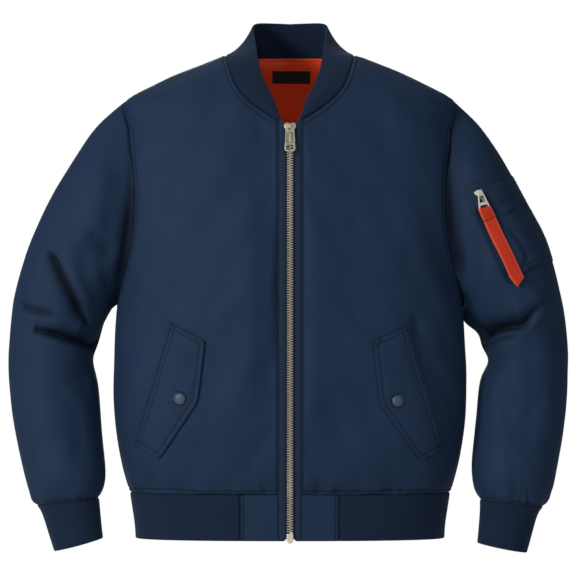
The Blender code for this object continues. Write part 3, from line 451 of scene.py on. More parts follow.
# the body's form, the same as the solids'
form = {
    "squareness": 2.5,
    "core": -250,
    "columns": ("height", "halfWidth", "front", "back"),
    "body": (
        (-607, 224, 103, 101), (-590, 229.5, 110, 107), (-560, 237, 118, 114), (-500, 245.5, 123, 116),
        (-426, 246, 123, 112), (-353, 242, 122, 111), (-300, 239, 122, 112), (-220, 238.5, 119, 117),
        (-150, 238, 109.5, 118), (-120, 236.5, 103, 116), (-90, 234, 94, 111), (-59, 228, 84, 102),
        (-39, 192, 77, 94), (-24, 160, 71, 87), (-10.5, 126, 66, 81), (4, 90, 60, 76),
    ),
    "hem": ((-671, 216, 97, 95), (-655, 217, 98, 96), (-636, 219.5, 100, 98), (-607, 224, 103, 101)),
    "neckline": (
        (12, -91.5), (22.6, -86.7), (41.4, -74.6), (62.2, -57.6), (77.1, -36.4), (86.1, -10.4), (90, 4),
    ),
    "armhole": {"middle": -202, "halfHeight": 143, "halfAngle": 31},
    "zipEdge": 16.5,
    "hemTabEdge": 69,
}
# how many of the solids' cells lie along each seam of one half
cells = {
    "tab": 3, "hemFront": 9, "hemBack": 10, "neckFront": 7, "neckBack": 5, "shoulder": 5,
    "side": 9, "armhole": 11,
}
frontCells, sideCells = cells["tab"] + cells["hemFront"], cells["side"] + cells["armhole"]
levels, hemLevels = (table(form["columns"], form[name]) for name in ("body", "hem"))
hemSeam = form["body"][0][0]
neckTop = form["body"][-1][0]


def formPoint(angle, height, levels=levels):
    # angle 0 is the centre front, 90 the wearer's left side, 180 the centre back
    power = form["squareness"]
    turn = np.radians(angle)
    side, front = np.sin(turn), np.cos(turn)
    reach = (abs(side) ** power + abs(front) ** power) ** (-1 / power)
    depth = np.where(front > 0, levels["front"](height), levels["back"](height))
    x = side * reach * levels["halfWidth"](height)
    return np.stack([x, -front * reach * depth, np.broadcast_to(height, x.shape)], axis=-1)


def formAngle(across, height, levels=levels):
    power = form["squareness"]
    share = np.clip(across / levels["halfWidth"](height), 0, 1)
    return np.degrees(np.arctan2(share, (1 - share**power) ** (1 / power)))


def atFront(across, height, levels=levels):
    height = np.asarray(height, float)
    return formPoint(formAngle(across, height, levels), height, levels)


def ontoForm(points):
    # the points moved along rays from the form's middle until they lie on it
    power = form["squareness"]
    core = np.zeros_like(points)
    core[..., 2] = np.minimum(points[..., 2], form["core"])
    ray = points - core
    near = np.full(points.shape[:-1], 0.3)
    far = np.full(points.shape[:-1], 2.0)
    for _ in range(32):
        middle = (near + far) / 2
        x, y, z = np.moveaxis(core + middle[..., None] * ray, -1, 0)
        depth = np.where(y < 0, levels["front"](z), levels["back"](z))
        level = abs(x / levels["halfWidth"](z)) ** power + abs(y / depth) ** power
        inside = (level < 1) & (z < neckTop)
        near = np.where(inside, middle, near)
        far = np.where(inside, far, middle)
    return core + near[..., None] * ray


def armhole(turn):
    # turn 0 is the left armhole's top, 90 its front, 180 the underarm, 270 its back
    size = form["armhole"]
    turn = np.radians(turn)
    angle = 90 - size["halfAngle"] * np.sin(turn)
    return formPoint(angle, size["middle"] + size["halfHeight"] * np.cos(turn))


def bodySeams():
    # readers of the left half's seams by cell number
    rows = np.array(form["neckline"], float)
    run = runOf(rows)
    place = table(("share", "across", "height"), np.column_stack([run / run[-1], rows]))

    def neck(share):
        return atFront(place["across"](share), place["height"](share))

    fine = np.linspace(0, 0.5, 1000)
    neckStart = float(np.interp(form["zipEdge"], neck(fine)[:, 0], fine))
    topHeight = float(neck(np.array([neckStart]))[0, 2])
    edgeAngle, tabAngle = (formAngle(form[name], hemSeam) for name in ("zipEdge", "hemTabEdge"))
    size = form["armhole"]
    tip, underarm = size["middle"] + size["halfHeight"], size["middle"] - size["halfHeight"]

    def level(angle):
        return formPoint(angle, hemSeam)

    def topLevel(angle):
        return formPoint(angle, float(neckTop))

    def sideLine(height):
        return formPoint(90.0, height)

    def onZip(at):
        return atFront(form["zipEdge"], hemSeam + (topHeight - hemSeam) * at / sideCells)

    seams = {"zip": (onZip, sideCells)}
    for name, way in (("armholeFront", -180), ("armholeBack", 180)):
        seams[name] = lambda at, way=way: armhole(180 + at / cells["armhole"] * way), cells["armhole"]
    for name, curve, key, start, end in (
        ("hemTab", level, "tab", edgeAngle, tabAngle),
        ("hemFront", level, "hemFront", tabAngle, 90),
        ("hemBack", level, "hemBack", 90, 180),
        ("neckFront", neck, "neckFront", neckStart, 1),
        ("neckBack", topLevel, "neckBack", 90, 180),
        ("shoulder", sideLine, "shoulder", neckTop, tip),
        ("shoulderUp", sideLine, "shoulder", tip, neckTop),
        ("side", sideLine, "side", hemSeam, underarm),
    ):
        seams[name] = alongCurve(curve, cells[key], start, end), cells[key]
    return seams


def flipped(part):
    # the same seam on the wearer's other side, run the other way
    reader, count = part
    return lambda at: reader(count - at) * (-1, 1, 1), count


def patch(bottom, top, left, right, u, v):
    # a grid between four edges, at these shares of its way across and up
    u, v = u[:, None, None], v[None, :, None]
    level = (1 - v) * bottom[:, None] + v * top[:, None]
    upright = (1 - u) * left[None] + u * right[None]
    corners = (1 - u) * ((1 - v) * bottom[0] + v * top[0]) + u * ((1 - v) * bottom[-1] + v * top[-1])
    return level + upright - corners


def between(grid, u, v):
    # a bilinear reading of a grid at these column and row numbers
    i = np.clip(u.astype(int), 0, grid.shape[0] - 2)
    j = np.clip(v.astype(int), 0, grid.shape[1] - 2)
    u, v = (u - i)[..., None], (v - j)[..., None]
    low = (1 - u) * grid[i, j] + u * grid[i + 1, j]
    high = (1 - u) * grid[i, j + 1] + u * grid[i + 1, j + 1]
    return (1 - v) * low + v * high


def relaxed(grid, rounds):
    # smoothing on the form that keeps the cells square and never folds them over
    grid = grid.copy()
    for number in range(rounds):
        across = (grid[2:, 1:-1] - grid[:-2, 1:-1]) / 2
        up = (grid[1:-1, 2:] - grid[1:-1, :-2]) / 2
        a, b, c = ((x * y).sum(-1, keepdims=True) for x, y in ((up, up), (across, up), (across, across)))
        cross = (grid[2:, 2:] - grid[2:, :-2] - grid[:-2, 2:] + grid[:-2, :-2]) / 4
        sides = a * (grid[2:, 1:-1] + grid[:-2, 1:-1]) + c * (grid[1:-1, 2:] + grid[1:-1, :-2])
        grid[1:-1, 1:-1] += 0.9 * ((sides - 2 * b * cross) / (2 * (a + c)) - grid[1:-1, 1:-1])
        if number % 4 == 3:
            grid[1:-1, 1:-1] = ontoForm(grid[1:-1, 1:-1])
    return grid


def panel(edges, acrossAt, upAt):
    # a body panel at these cell numbers, smoothed at 1, 2 and then 4 nodes to the cell
    bottom, top, left, right = (chained(*parts) for parts in edges)
    across, up = acrossAt[-1], upAt[-1]

    def laid(u, v):
        return patch(bottom(u), top(u), left(v), right(v), u / across, v / up)

    shift, sub = np.zeros((2, 2, 3)), 1
    for finer, rounds in ((1, 200), (2, 200), (4, 120)):
        u, v = np.arange(across * finer + 1) / finer, np.arange(up * finer + 1) / finer
        coarse = laid(u, v)
        start = coarse + between(shift, u[:, None] * sub, v[None] * sub)
        start[1:-1, 1:-1] = ontoForm(start[1:-1, 1:-1])
        shift, sub = relaxed(start, rounds) - coarse, finer
    grid = laid(acrossAt, upAt) + between(shift, acrossAt[:, None] * sub, upAt[None] * sub)
    grid[1:-1, 1:-1] = ontoForm(grid[1:-1, 1:-1])
    return grid


# distances from an edge at which rows lie, where there is a seam and where the edge is free
seamBand = (0, 0.4, 0.9, 1.5, 2.1, 2.7, 3.4, 4.2, 5, 5.8, 6.6, 7.5, 8.8, 10.5, 12.8)
freeBand = (0, 0.12, 0.35, 0.7, 1.1, 1.5, 2.2, 3, 4, 5.2, 7, 9.5)


def stations(length, spacing, first, last):
    # distances from 0 to length, close together near both ends
    first, last = np.array(first, float), length - np.array(last, float)[::-1]
    count = max(2, int(round((last[0] - first[-1]) / spacing)))
    return np.concatenate([first, np.linspace(first[-1], last[0], count + 1)[1:-1], last])


def normalsOf(grid, closed=False):
    if closed:
        return normalsOf(np.concatenate([grid[-1:], grid, grid[:1]]))[1:-1]
    return unit(np.cross(np.gradient(grid, axis=0), np.gradient(grid, axis=1)))


def inwards(line, facing, middle):
    # the ways across a line in its surface, towards a place
    across = unit(np.cross(facing, np.gradient(line, axis=0)))
    return across * np.sign(((middle - line) * across).sum(-1, keepdims=True))


def hill(gap, width, middle=0.0):
    # a rounded rise of one at a distance from a line
    return np.exp(-(((gap - middle) / width) ** 2))


def rounded(gap, radius):
    # how far a round edge falls away close to its end, from 0 to 1, and the share of its radius there
    share = np.clip(1 - gap / radius, 0, 1)
    return 1 - np.sqrt(np.clip(1 - share**2, 0, 1)), share


def evened(ways, rounds):
    # directions on a grid, smoothed inside its edges
    for _ in range(rounds):
        ways[1:-1, 1:-1] = unit((ways[2:, 1:-1] + ways[:-2, 1:-1] + ways[1:-1, 2:] + ways[1:-1, :-2]) / 4)
    return ways


def nearTo(points, line, normals=None):
    # distance to a line, the run along it there and, where normals are given, the side of it
    flat = points.reshape(-1, 3)
    way = np.diff(line, axis=0)
    length = np.linalg.norm(way, axis=1)
    run = runOf(line)
    gaps, runs, sides = [], [], []
    batch = 2500
    for start in range(0, len(flat), batch):
        chunk = flat[start : start + batch]
        offset = chunk[:, None] - line[None, :-1]
        share = np.clip((offset * way).sum(-1) / length**2, 0, 1)
        apart = offset - share[..., None] * way
        gap = np.linalg.norm(apart, axis=-1)
        best = gap.argmin(1)
        row = np.arange(len(chunk))
        gaps.append(gap[row, best])
        runs.append(run[best] + share[row, best] * length[best])
        if normals is not None:
            side = np.cross(way[best], apart[row, best])
            sides.append(np.sign((side * normals.reshape(-1, 3)[start : start + batch]).sum(-1)))
    found = (gaps, runs) if normals is None else (gaps, runs, sides)
    return [np.concatenate(part).reshape(points.shape[:-1]) for part in found]


def rippled(points, wavelength, seed, stretch=(1, 1, 1), slant=0):
    # gentle noise of -1 to 1 at each point; slant turns it as seen from the front
    flat = points.reshape(-1, 3)
    if slant:
        flat = flat @ np.array(Matrix.Rotation(math.radians(slant), 3, "Y"))
    flat = flat * np.array(stretch) / wavelength
    shift = Vector((seed * 7.31, seed * 3.17, seed * 5.53))
    found = [noise.noise(Vector(point) + shift) for point in flat.tolist()]
    return np.array(found).reshape(points.shape[:-1])


def folded(grid, normals, rows):
    # the sum of troughs and ridges, and the painted shade of each point, from how deep in a crease it lies
    lift, creaseShade = np.zeros(grid.shape[:2]), np.zeros(grid.shape[:2])
    for view, depth, tip, above, below, start, end, *places in rows:
        way = {"front": 1, "back": -1}[view]
        shown = grid[normals[..., 1] * way < cloth["edgeOn"]]
        ends = []
        for x, z in places:
            near = (shown[:, 0] - x) ** 2 + (shown[:, 2] - z) ** 2
            ends.append(shown[near.argmin()])
        line = np.array(ends)
        run = runOf(line)
        path = spline(run / run[-1], line)(np.linspace(0, 1, 18))
        gap, at, side = nearTo(grid, path, normals)
        share = at / runOf(path)[-1]
        taper = smooth(share / start) * smooth((1 - share) / end)
        reach = np.where(side > 0, above, below)
        slope = np.exp(-(np.sqrt(gap**2 + tip**2) - tip) / (reach * (0.55 + 0.45 * taper)) * 1.4)
        same = 1 / (1 + np.exp(normals[..., 1] * (9 * way)))
        lift += depth * taper * slope * same
        if depth < 0 and tip < cloth["sharpTip"]:
            # a trough with a sharp bottom gets painted shade there
            dark = np.clip(-depth / 9, 0, 1.1) * min((cloth["sharpTip"] - tip) / 3, 1)
            near = reach * (0.35 + 0.45 * taper)
            creaseShade += dark * taper**0.5 * same * np.exp(-((gap / near) ** 2.4))
    return lift, creaseShade


def quads(across, up, closed=False):
    # the corners of a grid's faces by point number, with each face's column and row
    i, j = np.meshgrid(np.arange(across if closed else across - 1), np.arange(up - 1), indexing="ij")
    a, b = (i * up + j).ravel(), ((i + 1) % across * up + j).ravel()
    return np.stack([a, b, b + 1, a + 1], axis=1), i, j


def clothObject(name, outer, inner, finishes, closed=False, creaseShade=None):
    # a closed wall between two grids of matching points, with a map in millimetres; the crease shade is how
    # deep in a fold or seam each outer point lies, from 0 to 1, which the finishes paint as shade
    across, up = outer.shape[:2]
    points = np.concatenate([outer.reshape(-1, 3), inner.reshape(-1, 3)]) * mm
    skin = across * up
    front, i, j = quads(across, up, closed)
    a, b = i[:, 0] * up, (i[:, 0] + 1) % across * up
    foot = np.stack([a + skin, b + skin, b, a], axis=1)
    top = np.stack([a, b, b + skin, a + skin], axis=1) + up - 1
    faces = [front, front[:, (0, 3, 2, 1)] + skin, foot, top]
    if not closed:
        start, end = j[0], (across - 1) * up + j[0]
        faces.append(np.stack([start, start + 1, start + 1 + skin, start + skin], axis=1))
        faces.append(np.stack([end + skin, end + 1 + skin, end + 1, end], axis=1))
    every = np.concatenate(faces)
    mesh = bpy.data.meshes.new(name)
    mesh.from_pydata(points.tolist(), [], every.tolist())
    middle = outer[:, up // 2]
    around = runOf(np.concatenate([middle, middle[:1]]) if closed else middle)
    rise = np.stack([runOf(column) for column in outer])
    flat = np.stack([np.repeat(around[:across, None], up, axis=1), rise], axis=-1).reshape(-1, 2)
    uv = np.concatenate([flat, flat])[every]
    if closed:
        # the faces that close the ring go on past its end
        seam = np.ptp(uv[:, :, 0], axis=1) > around[-1] / 2
        uv[seam, :, 0] += np.where(uv[seam, :, 0] < around[-1] / 2, around[-1], 0)
    layer = mesh.uv_layers.new(name="cloth")
    layer.uv.foreach_set("vector", uv.astype(np.float32).ravel())
    # the outer face's painted crease shade, kept on the mesh for the finishes
    if creaseShade is not None:
        depth = mesh.attributes.new("creaseShade", "FLOAT", "POINT")
        values = np.concatenate([creaseShade.ravel(), np.zeros(creaseShade.size)])
        depth.data.foreach_set("value", np.clip(values, 0, 1).astype(np.float32))
    for finish in finishes:
        mesh.materials.append(finish)
    # the second finish is for the inner face, away from its edges
    inside = (j > 1) & (j < up - 3) & (closed | (i > 1) & (i < across - 3))
    kinds = np.zeros(len(every), np.int32)
    kinds[len(front) : 2 * len(front)] = inside.ravel() * (len(finishes) - 1)
    mesh.polygons.foreach_set("material_index", kinds)
    mesh.shade_smooth()
    return linked(name, mesh)


def declared(thing, slot, node=None, body="jacket"):
    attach(thing, body)
    if node:
        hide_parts(node)


def edgeOf(grid, normals, which):
    # points of one edge, the outward directions there and the ways into the cloth
    pick = {"foot": (slice(None), 0), "top": (slice(None), -1), "start": 0, "end": -1}[which]
    inner = {"foot": (slice(None), 6), "top": (slice(None), -7), "start": 6, "end": -7}[which]
    line, facing = grid[pick], normals[pick]
    across = unit(np.cross(facing, np.gradient(line, axis=0)))
    way = np.sign(((grid[inner] - line) * across).sum(-1)).mean()
    return line, facing, across * (1 if way > 0 else -1)


def blendedNormals(grids):
    # each piece's own directions, turned to the mean of the two pieces' at the seams that they share
    normals = {key: normalsOf(grid, key in rings) for key, grid in grids.items()}
    ends = {}
    for key, grid in grids.items():
        picks = ["foot", "top"] if key in rings else ["foot", "top", "start", "end"]
        ends[key] = [edgeOf(grid, normals[key], pick)[:2] for pick in picks]
    result = {}
    for key, grid in grids.items():
        turned = normals[key].copy()
        for line, facing in ends[key]:
            total, met = facing.copy(), np.zeros(len(line))
            for other, runs in ends.items():
                for far, theirs in runs if other != key else ():
                    gap = np.linalg.norm(line[:, None] - far[None], axis=-1)
                    best = gap.argmin(1)
                    near = gap[np.arange(len(line)), best] < cloth["meets"]
                    total[near] += theirs[best[near]]
                    met[near] = 1
            if met.mean() < 0.1:
                continue
            shared = unit(total)
            gap, at = nearTo(grid, line)
            run = runOf(line)
            share = (1 - smooth(gap / cloth["turnIn"])) * np.interp(at, run, met)
            turned += share[..., None] * (pointsAt(at, run, shared) - turned)
        result[key] = unit(turned)
    return result


cloth = {
    "thickness": 3,
    "turnIn": 9,  # over this far from a seam the two pieces' directions blend
    "meets": 2.5,  # edges closer than this are sewn together
    "seamDip": 2.2, "seamWidth": 4.0,
    "stitchDip": 1.0, "stitchWidth": 0.95,
    "calm": 15,  # folds die out this close to a seam
    "pucker": 0.5, "puckerReach": 11, "puckerPitch": 7,
    "edgeRadius": 1.45,
    "edgeOn": 0.1,  # how far a place may face away and still count as seen
    "sharpTip": 5,  # folds less round than this get painted shade at the bottom
}


def seamed(grid, normals, edges):
    # how far the cloth sinks at its seams and stitch lines, its rounding at free edges, its calm, and the
    # painted shade in its seams, stitch grooves and pinches
    shown = 0.25 + 0.75 * abs(normals[..., 1])
    sink, puff, rounding, creaseShade = (np.zeros(grid.shape[:2]) for _ in range(4))
    calm = np.ones(grid.shape[:2])
    for number, edge in enumerate(edges):
        line = resampled(edge["line"], 6)
        length = runOf(line)[-1]
        gap, at = nearTo(grid, line)
        if edge["free"]:
            rounding += cloth["edgeRadius"] * rounded(gap, cloth["edgeRadius"])[0]
        else:
            share = np.clip(1 - gap / cloth["seamWidth"], 0, 1)
            sink += edge["dip"] * share**2
            # painted shade in the seam's dip
            creaseShade += 0.6 * share**3
        if edge["calm"]:
            calm *= smooth(gap / edge["calm"])
        beside = (at > 0.01) & (at < length - 0.01)
        for away in edge["stitches"]:
            groove = beside * hill(gap, cloth["stitchWidth"], away)
            sink += cloth["stitchDip"] * groove
            # painted shade in the stitch groove
            creaseShade += 0.85 * groove
        if edge["stitches"]:
            place = np.stack([at, gap * 0.35, np.full_like(at, 40.0 * number)], axis=-1)
            fade = smooth(gap / 2.5) * np.exp(-gap / cloth["puckerReach"])
            puff += cloth["pucker"] * fade * rippled(place, cloth["puckerPitch"], 3 + number)
        for size, pitch, reach in edge["gathers"]:
            # uneven pinches that rise from the seam
            chance = np.random.default_rng(number + round(length))
            place = pitch / 2
            while place < length:
                deep = size * chance.uniform(0.3, 1) ** 1.4
                tall = hill(gap, reach * chance.uniform(0.5, 1.4)) * shown
                width = pitch * chance.uniform(0.14, 0.3)
                lean = chance.uniform(-0.3, 0.3)
                pinch = deep * hill(at - lean * gap, width, place) * tall * smooth(gap / 3)
                puff += 0.5 * deep * hill(at, width * 1.6, place + pitch / 2) * tall
                sink += pinch
                creaseShade += 0.13 * pinch
                place += pitch * chance.uniform(0.5, 1.7)
    return sink, puff, rounding, calm, creaseShade


def clothFaces(grid, normals, edges, look, rows):
    # the outer and inner face of one cut piece, and the painted shade of each point, from how deep in a
    # crease or seam it lies
    sink, puff, rounding, calm, creaseShade = seamed(grid, normals, edges)
    lift = np.zeros(grid.shape[:2])
    for size, wavelength, stretch in look["waves"]:
        lift += size * rippled(grid, wavelength, look["seed"], stretch, look["slant"])
    lift *= calm * (0.25 + 0.75 * abs(normals[..., 1]))
    folds, deep = folded(grid, normals, rows)
    lift += folds * (0.15 + 0.85 * calm) + puff
    face = lift - sink - rounding
    outer = grid + normals * face[..., None]
    thinnest = 0.9 * (1 - np.clip(rounding / 1.4, 0, 1))
    rear = np.minimum(lift * 0.85 - cloth["thickness"] + rounding, face - thinnest)
    inner = grid + normals * rear[..., None]
    if look["under"]:
        # the first row goes on under the piece that it is sewn to
        further = look["under"] * unit(outer[:, 1] - outer[:, 0]) + 0.3 * normals[:, 0]
        outer[:, 0] -= further
        inner[:, 0] -= further
    return outer, inner, creaseShade + deep


stitch = {
    "pitch": 3.1, "length": 2.3, "width": 0.34, "height": 0.26, "sunk": 0.02,
    # the share of its length, the swelling and the rise of each ring
    "rings": ((-0.5, 0.3, -0.35), (-0.28, 1, 0.55), (0.28, 1, 0.55), (0.5, 0.3, -0.35)),
}


def treeOf(grid, closed=False):
    return BVHTree.FromPolygons(grid.reshape(-1, 3).tolist(), quads(*grid.shape[:2], closed)[0].tolist())


def dropped(tree, points, facing):
    # points moved along their facing direction onto a surface, and the surface's direction there
    places, normals = [], []
    for point, way in zip(points, facing):
        hit, normal, _, _ = tree.ray_cast(Vector(point + 12 * way), Vector(-way), 30)
        if hit is None:
            hit, normal, _, _ = tree.find_nearest(Vector(point))
        normal = np.array(normal)
        places.append(np.array(hit))
        normals.append(normal if normal @ way > 0 else -normal)
    return np.array(places), np.array(normals)


def sewn(tree, line, facing, start=0.0, end=0.0):
    # stitches along a line on a surface: their middles, ways and outward directions
    run = runOf(line)
    at = np.arange(start + stitch["pitch"] / 2, run[-1] - end, stitch["pitch"])
    if len(at) < 2:
        return []
    points, outward = dropped(tree, pointsAt(at, run, line), unit(pointsAt(at, run, facing)))
    return [(points, unit(np.gradient(points, axis=0)), outward)]


def loftedFaces(count, layers):
    # the faces of a solid through layers of this many points each
    faces = [tuple(range(count))[::-1], tuple(range((layers - 1) * count, layers * count))]
    for layer in range(layers - 1):
        for k in range(count):
            a, b = layer * count + k, layer * count + (k + 1) % count
            faces.append((a, b, b + count, a + count))
    return faces


def repeated(name, shape, frames):
    # a mesh of many copies of one shape; a frame is an origin and three directions
    vertices, faces = shape
    origin, x, y, z = (part[:, None] for part in frames)
    placed = origin + vertices[:, :1] * x + vertices[:, 1:2] * y + vertices[:, 2:] * z
    every = np.arange(len(placed))[:, None] * len(vertices)
    every = [tuple(first + k for k in face) for (first,) in every.tolist() for face in faces]
    mesh = bpy.data.meshes.new(name)
    mesh.from_pydata((placed.reshape(-1, 3) * mm).tolist(), [], every)
    return mesh


def stitchObject(name, runs, finish, slot, size=stitch):
    # all the stitches of one piece, each a slim spindle that dips into the cloth at its ends
    points, along, outward = (np.concatenate(part) for part in zip(*runs))
    outward = unit(outward - (outward * along).sum(-1, keepdims=True) * along)
    vertices = []
    for share, swell, rise in size["rings"]:
        for turn in np.radians((0, 90, 180, 270)):
            side, up = math.cos(turn) * swell, math.sin(turn) * swell
            height = (rise + up) * size["height"] - size["sunk"]
            vertices.append((side * size["width"], share * size["length"], height))
    shape = np.array(vertices), loftedFaces(4, len(size["rings"]))
    mesh = repeated(name, shape, (points, np.cross(along, outward), along, outward))
    mesh.materials.append(finish)
    mesh.shade_smooth()
    declared(linked(name, mesh), slot)


rings = ("sleeve_left", "sleeve_right", "cuff_left", "cuff_right")
tubes = {
    "columns": ("outerX", "outerZ", "innerX", "innerZ", "halfDepth", "middleY"),
    "sleeveRight": (
        (271.6, -98, 248.5, -350.5, 68, 0), (309.4, -152.6, 251.5, -355, 72, 0),
        (341.6, -208.6, 254, -359, 74, 1), (364, -261.8, 256.5, -364, 74, 2),
        (380.8, -313.6, 260, -371, 72, 3), (389.9, -359.8, 264, -384, 69, 4),
        (393.1, -401.8, 270.2, -404.6, 66, 4), (393.4, -429.8, 275.1, -424.2, 63, 3),
        (392, -462, 269.5, -450.8, 64, 0), (388.5, -497, 266, -484.4, 63, -6),
        (380.2, -540.4, 262.5, -526.4, 61, -14), (368.9, -586.6, 257.6, -571.2, 57, -24),
        (362.6, -606.2, 258.5, -595, 52, -28), (359.5, -615.5, 261.5, -605, 48, -30),
        (353, -624, 266, -613.5, 42, -32),
    ),
    "sleeveLeft": (
        (268.8, -99.4, 248, -352, 68, 0), (303.8, -152.6, 250.5, -358, 72, 0),
        (334.6, -208.6, 252.5, -363.5, 74, 1), (359.8, -260.1, 255, -369, 74, 2),
        (376.6, -322, 260, -378, 72, 3), (385, -364, 264.6, -389.2, 69, 4),
        (389.2, -406, 269.5, -406, 66, 4), (389.2, -432.6, 277, -424.2, 63, 3),
        (387.8, -464.8, 267.4, -448, 64, 0), (385, -498.4, 262.2, -484.4, 63, -6),
        (378.7, -540.4, 257.6, -526.4, 61, -14), (369.6, -588, 253.5, -569, 57, -24),
        (364, -606.2, 255.5, -596.4, 52, -28), (360.5, -616, 259, -607, 48, -30),
        (353, -626, 264, -616, 42, -32),
    ),
    "cuffRight": (
        (353, -624, 266, -613.5, 42, -32), (345.8, -634.2, 265, -621.6, 38, -34),
        (337.4, -658, 263, -641.2, 36, -39), (327.6, -687.4, 259.7, -669.2, 35, -45),
    ),
    "cuffLeft": (
        (353, -626, 264, -616, 42, -32), (345, -637, 264.3, -628, 38, -34),
        (337.4, -660.8, 262.8, -648.2, 36, -39), (329, -689.5, 260, -675.8, 35, -45),
    ),
    "turns": 186, "spacing": 3.7, "cuffSpacing": 3,
    "elbow": 5.2,  # the ring where the sleeves bend, with its rows this much denser
    "crowded": 0.8,
}
collar = {
    "columns": ("share", "across", "depth", "height"),
    "edge": (
        (0, 12.8, -92.6, -88), (0.11, 21, -84.5, -63), (0.20, 30, -74, -45), (0.29, 39.5, -61, -23),
        (0.40, 45, -43, 2), (0.505, 48.5, -20, 20.5), (0.60, 52, 8, 38.5), (0.695, 50.5, 30, 49),
        (0.82, 32, 50, 52), (1, 0, 58, 51.3),
    ),
    "crown": ((0, 2.5), (0.3, 2.5), (0.5, -2.5), (0.6, -4), (0.75, -2), (1, 1)),
    "tall": 56, "rows": 2.8,
}


def cellStations(count, size, step, first, last, breaks=()):
    # stations along some cells, with the ones nearest to a seam's corners moved onto them
    at = stations(count * size, step, first, last) / size
    for place in breaks:
        at[np.abs(at - place).argmin()] = place
    return at


def ringPoints(row, turn):
    # a ring of the left sleeve: turn 0 is its outermost point, 90 its front, 180 its innermost
    size = dict(zip(tubes["columns"], row))
    turn = np.radians(turn)
    outer = (1 + np.cos(turn)) / 2
    x = outer * size["outerX"] + (1 - outer) * size["innerX"]
    z = outer * size["outerZ"] + (1 - outer) * size["innerZ"]
    return np.stack([x, size["middleY"] - size["halfDepth"] * np.sin(turn), z], axis=-1)


def tubeGrid(rings, step, last, crowded=0.0):
    # a grid along a tube; crowded is how much denser its rows are at the elbow
    read = spline(np.arange(len(rings)), rings)
    fine = np.linspace(0, len(rings) - 1, 400)
    steps = np.linalg.norm(np.diff(read(fine), axis=0), axis=-1).mean(axis=1)
    steps = steps * (1 + crowded * np.exp(-(((fine[1:] - tubes["elbow"]) / 1.6) ** 4)))
    run = np.concatenate(([0], np.cumsum(steps)))
    at = np.interp(stations(run[-1], step, seamBand, last), run, fine)
    return read(at).transpose(1, 0, 2), at


def mirrored(grid):
    return grid[::-1] * (-1, 1, 1)


# how wide a cell is taken to be, and how far apart its columns or rows lie
spacing = {
    "front": (24, 3.6), "body": (29, 3.9), "back": (26, 4.2), "collar": (21, 3.2),
    "tab": (17.5, 3.2), "rib": (27, 3.6),
}


def bodyGrids(seams):
    acrossBreaks = cells["tab"], cells["neckFront"]
    frontAcross = cellStations(frontCells, *spacing["front"], freeBand, seamBand, acrossBreaks)
    up = cellStations(sideCells, *spacing["body"], seamBand, seamBand, (cells["side"],))
    edges = (("hemTab", "hemFront"), ("neckFront", "shoulder"), ("zip",), ("side", "armholeFront"))
    front = panel([[seams[name] for name in names] for names in edges], frontAcross, up)
    middle = cells["hemBack"]
    half = cellStations(middle, *spacing["back"], seamBand, (0, 4), (cells["neckBack"],))
    backAcross = np.concatenate([half, 2 * middle - half[-2::-1]])
    foot, neck, shoulder = (seams[name] for name in ("hemBack", "neckBack", "shoulderUp"))
    tops = shoulder, neck, flipped(neck), flipped(shoulder)
    sides = seams["side"], seams["armholeBack"]
    others = [(lambda at, read=read: read(at) * (-1, 1, 1), count) for read, count in sides]
    back = panel(((foot, flipped(foot)), tops, sides, others), backAcross, up)
    return front, back, (frontAcross / frontCells, up / sideCells), (backAcross / 2 / middle, up / sideCells)


def collarGrid(seams):
    at = cellStations(frontCells, *spacing["collar"], freeBand, (0, 3), (cells["neckFront"],))
    seam = chained(seams["neckFront"], seams["neckBack"])(at)
    run = runOf(seam)
    edge = table(collar["columns"], collar["edge"])
    share = run / run[-1]
    top = np.stack([edge[name](share) for name in collar["columns"][1:]], axis=-1)
    tall = collar["tall"]
    rise = (stations(tall, collar["rows"], seamBand, freeBand) / tall)[None, :, None]
    half = (1 - rise) * seam[:, None] + rise * top[:, None]
    crown = spline(*zip(*collar["crown"]))(share)[:, None, None]
    half += normalsOf(half) * crown * np.sin(math.pi * rise)
    half[-1, :, 0] = 0
    return np.concatenate([half, mirrored(half)[1:]])


def hemGrids(seams):
    low, high = form["hem"][0][0], form["hem"][-1][0]
    heights = low + stations(high - low, spacing["rib"][1], freeBand, seamBand)
    tabAt = cellStations(cells["tab"], *spacing["tab"], freeBand, seamBand)
    tabSeam = seams["hemTab"][0](tabAt)
    count = cells["hemFront"] + cells["hemBack"]
    halfAt = cellStations(count, *spacing["rib"], seamBand, (0, 3.5), (cells["hemFront"],))
    halfSeam = chained(seams["hemFront"], seams["hemBack"])(halfAt)
    row = form["body"][0]
    depth = np.where(halfSeam[:, 1] < 0, row[2], row[3])
    angles = np.degrees(np.arctan2(halfSeam[:, 0] / row[1], -halfSeam[:, 1] / depth))
    tabAngle = formAngle(form["hemTabEdge"], hemSeam)
    share = np.clip((angles - tabAngle) / (90 - tabAngle), 0, None)
    tab, half = [], []
    for height in heights:
        tab.append(atFront(tabSeam[:, 0], np.full(len(tabAt), height), hemLevels))
        edge = formAngle(form["hemTabEdge"], height, hemLevels)
        half.append(formPoint(np.where(angles < 90, edge + (90 - edge) * share, angles), height, hemLevels))
    tab[-1], half[-1] = tabSeam, halfSeam
    half = np.stack(half, axis=1)
    half[-1, :, 0] = 0
    return np.stack(tab, axis=1), np.concatenate([half, mirrored(half)[1:]])


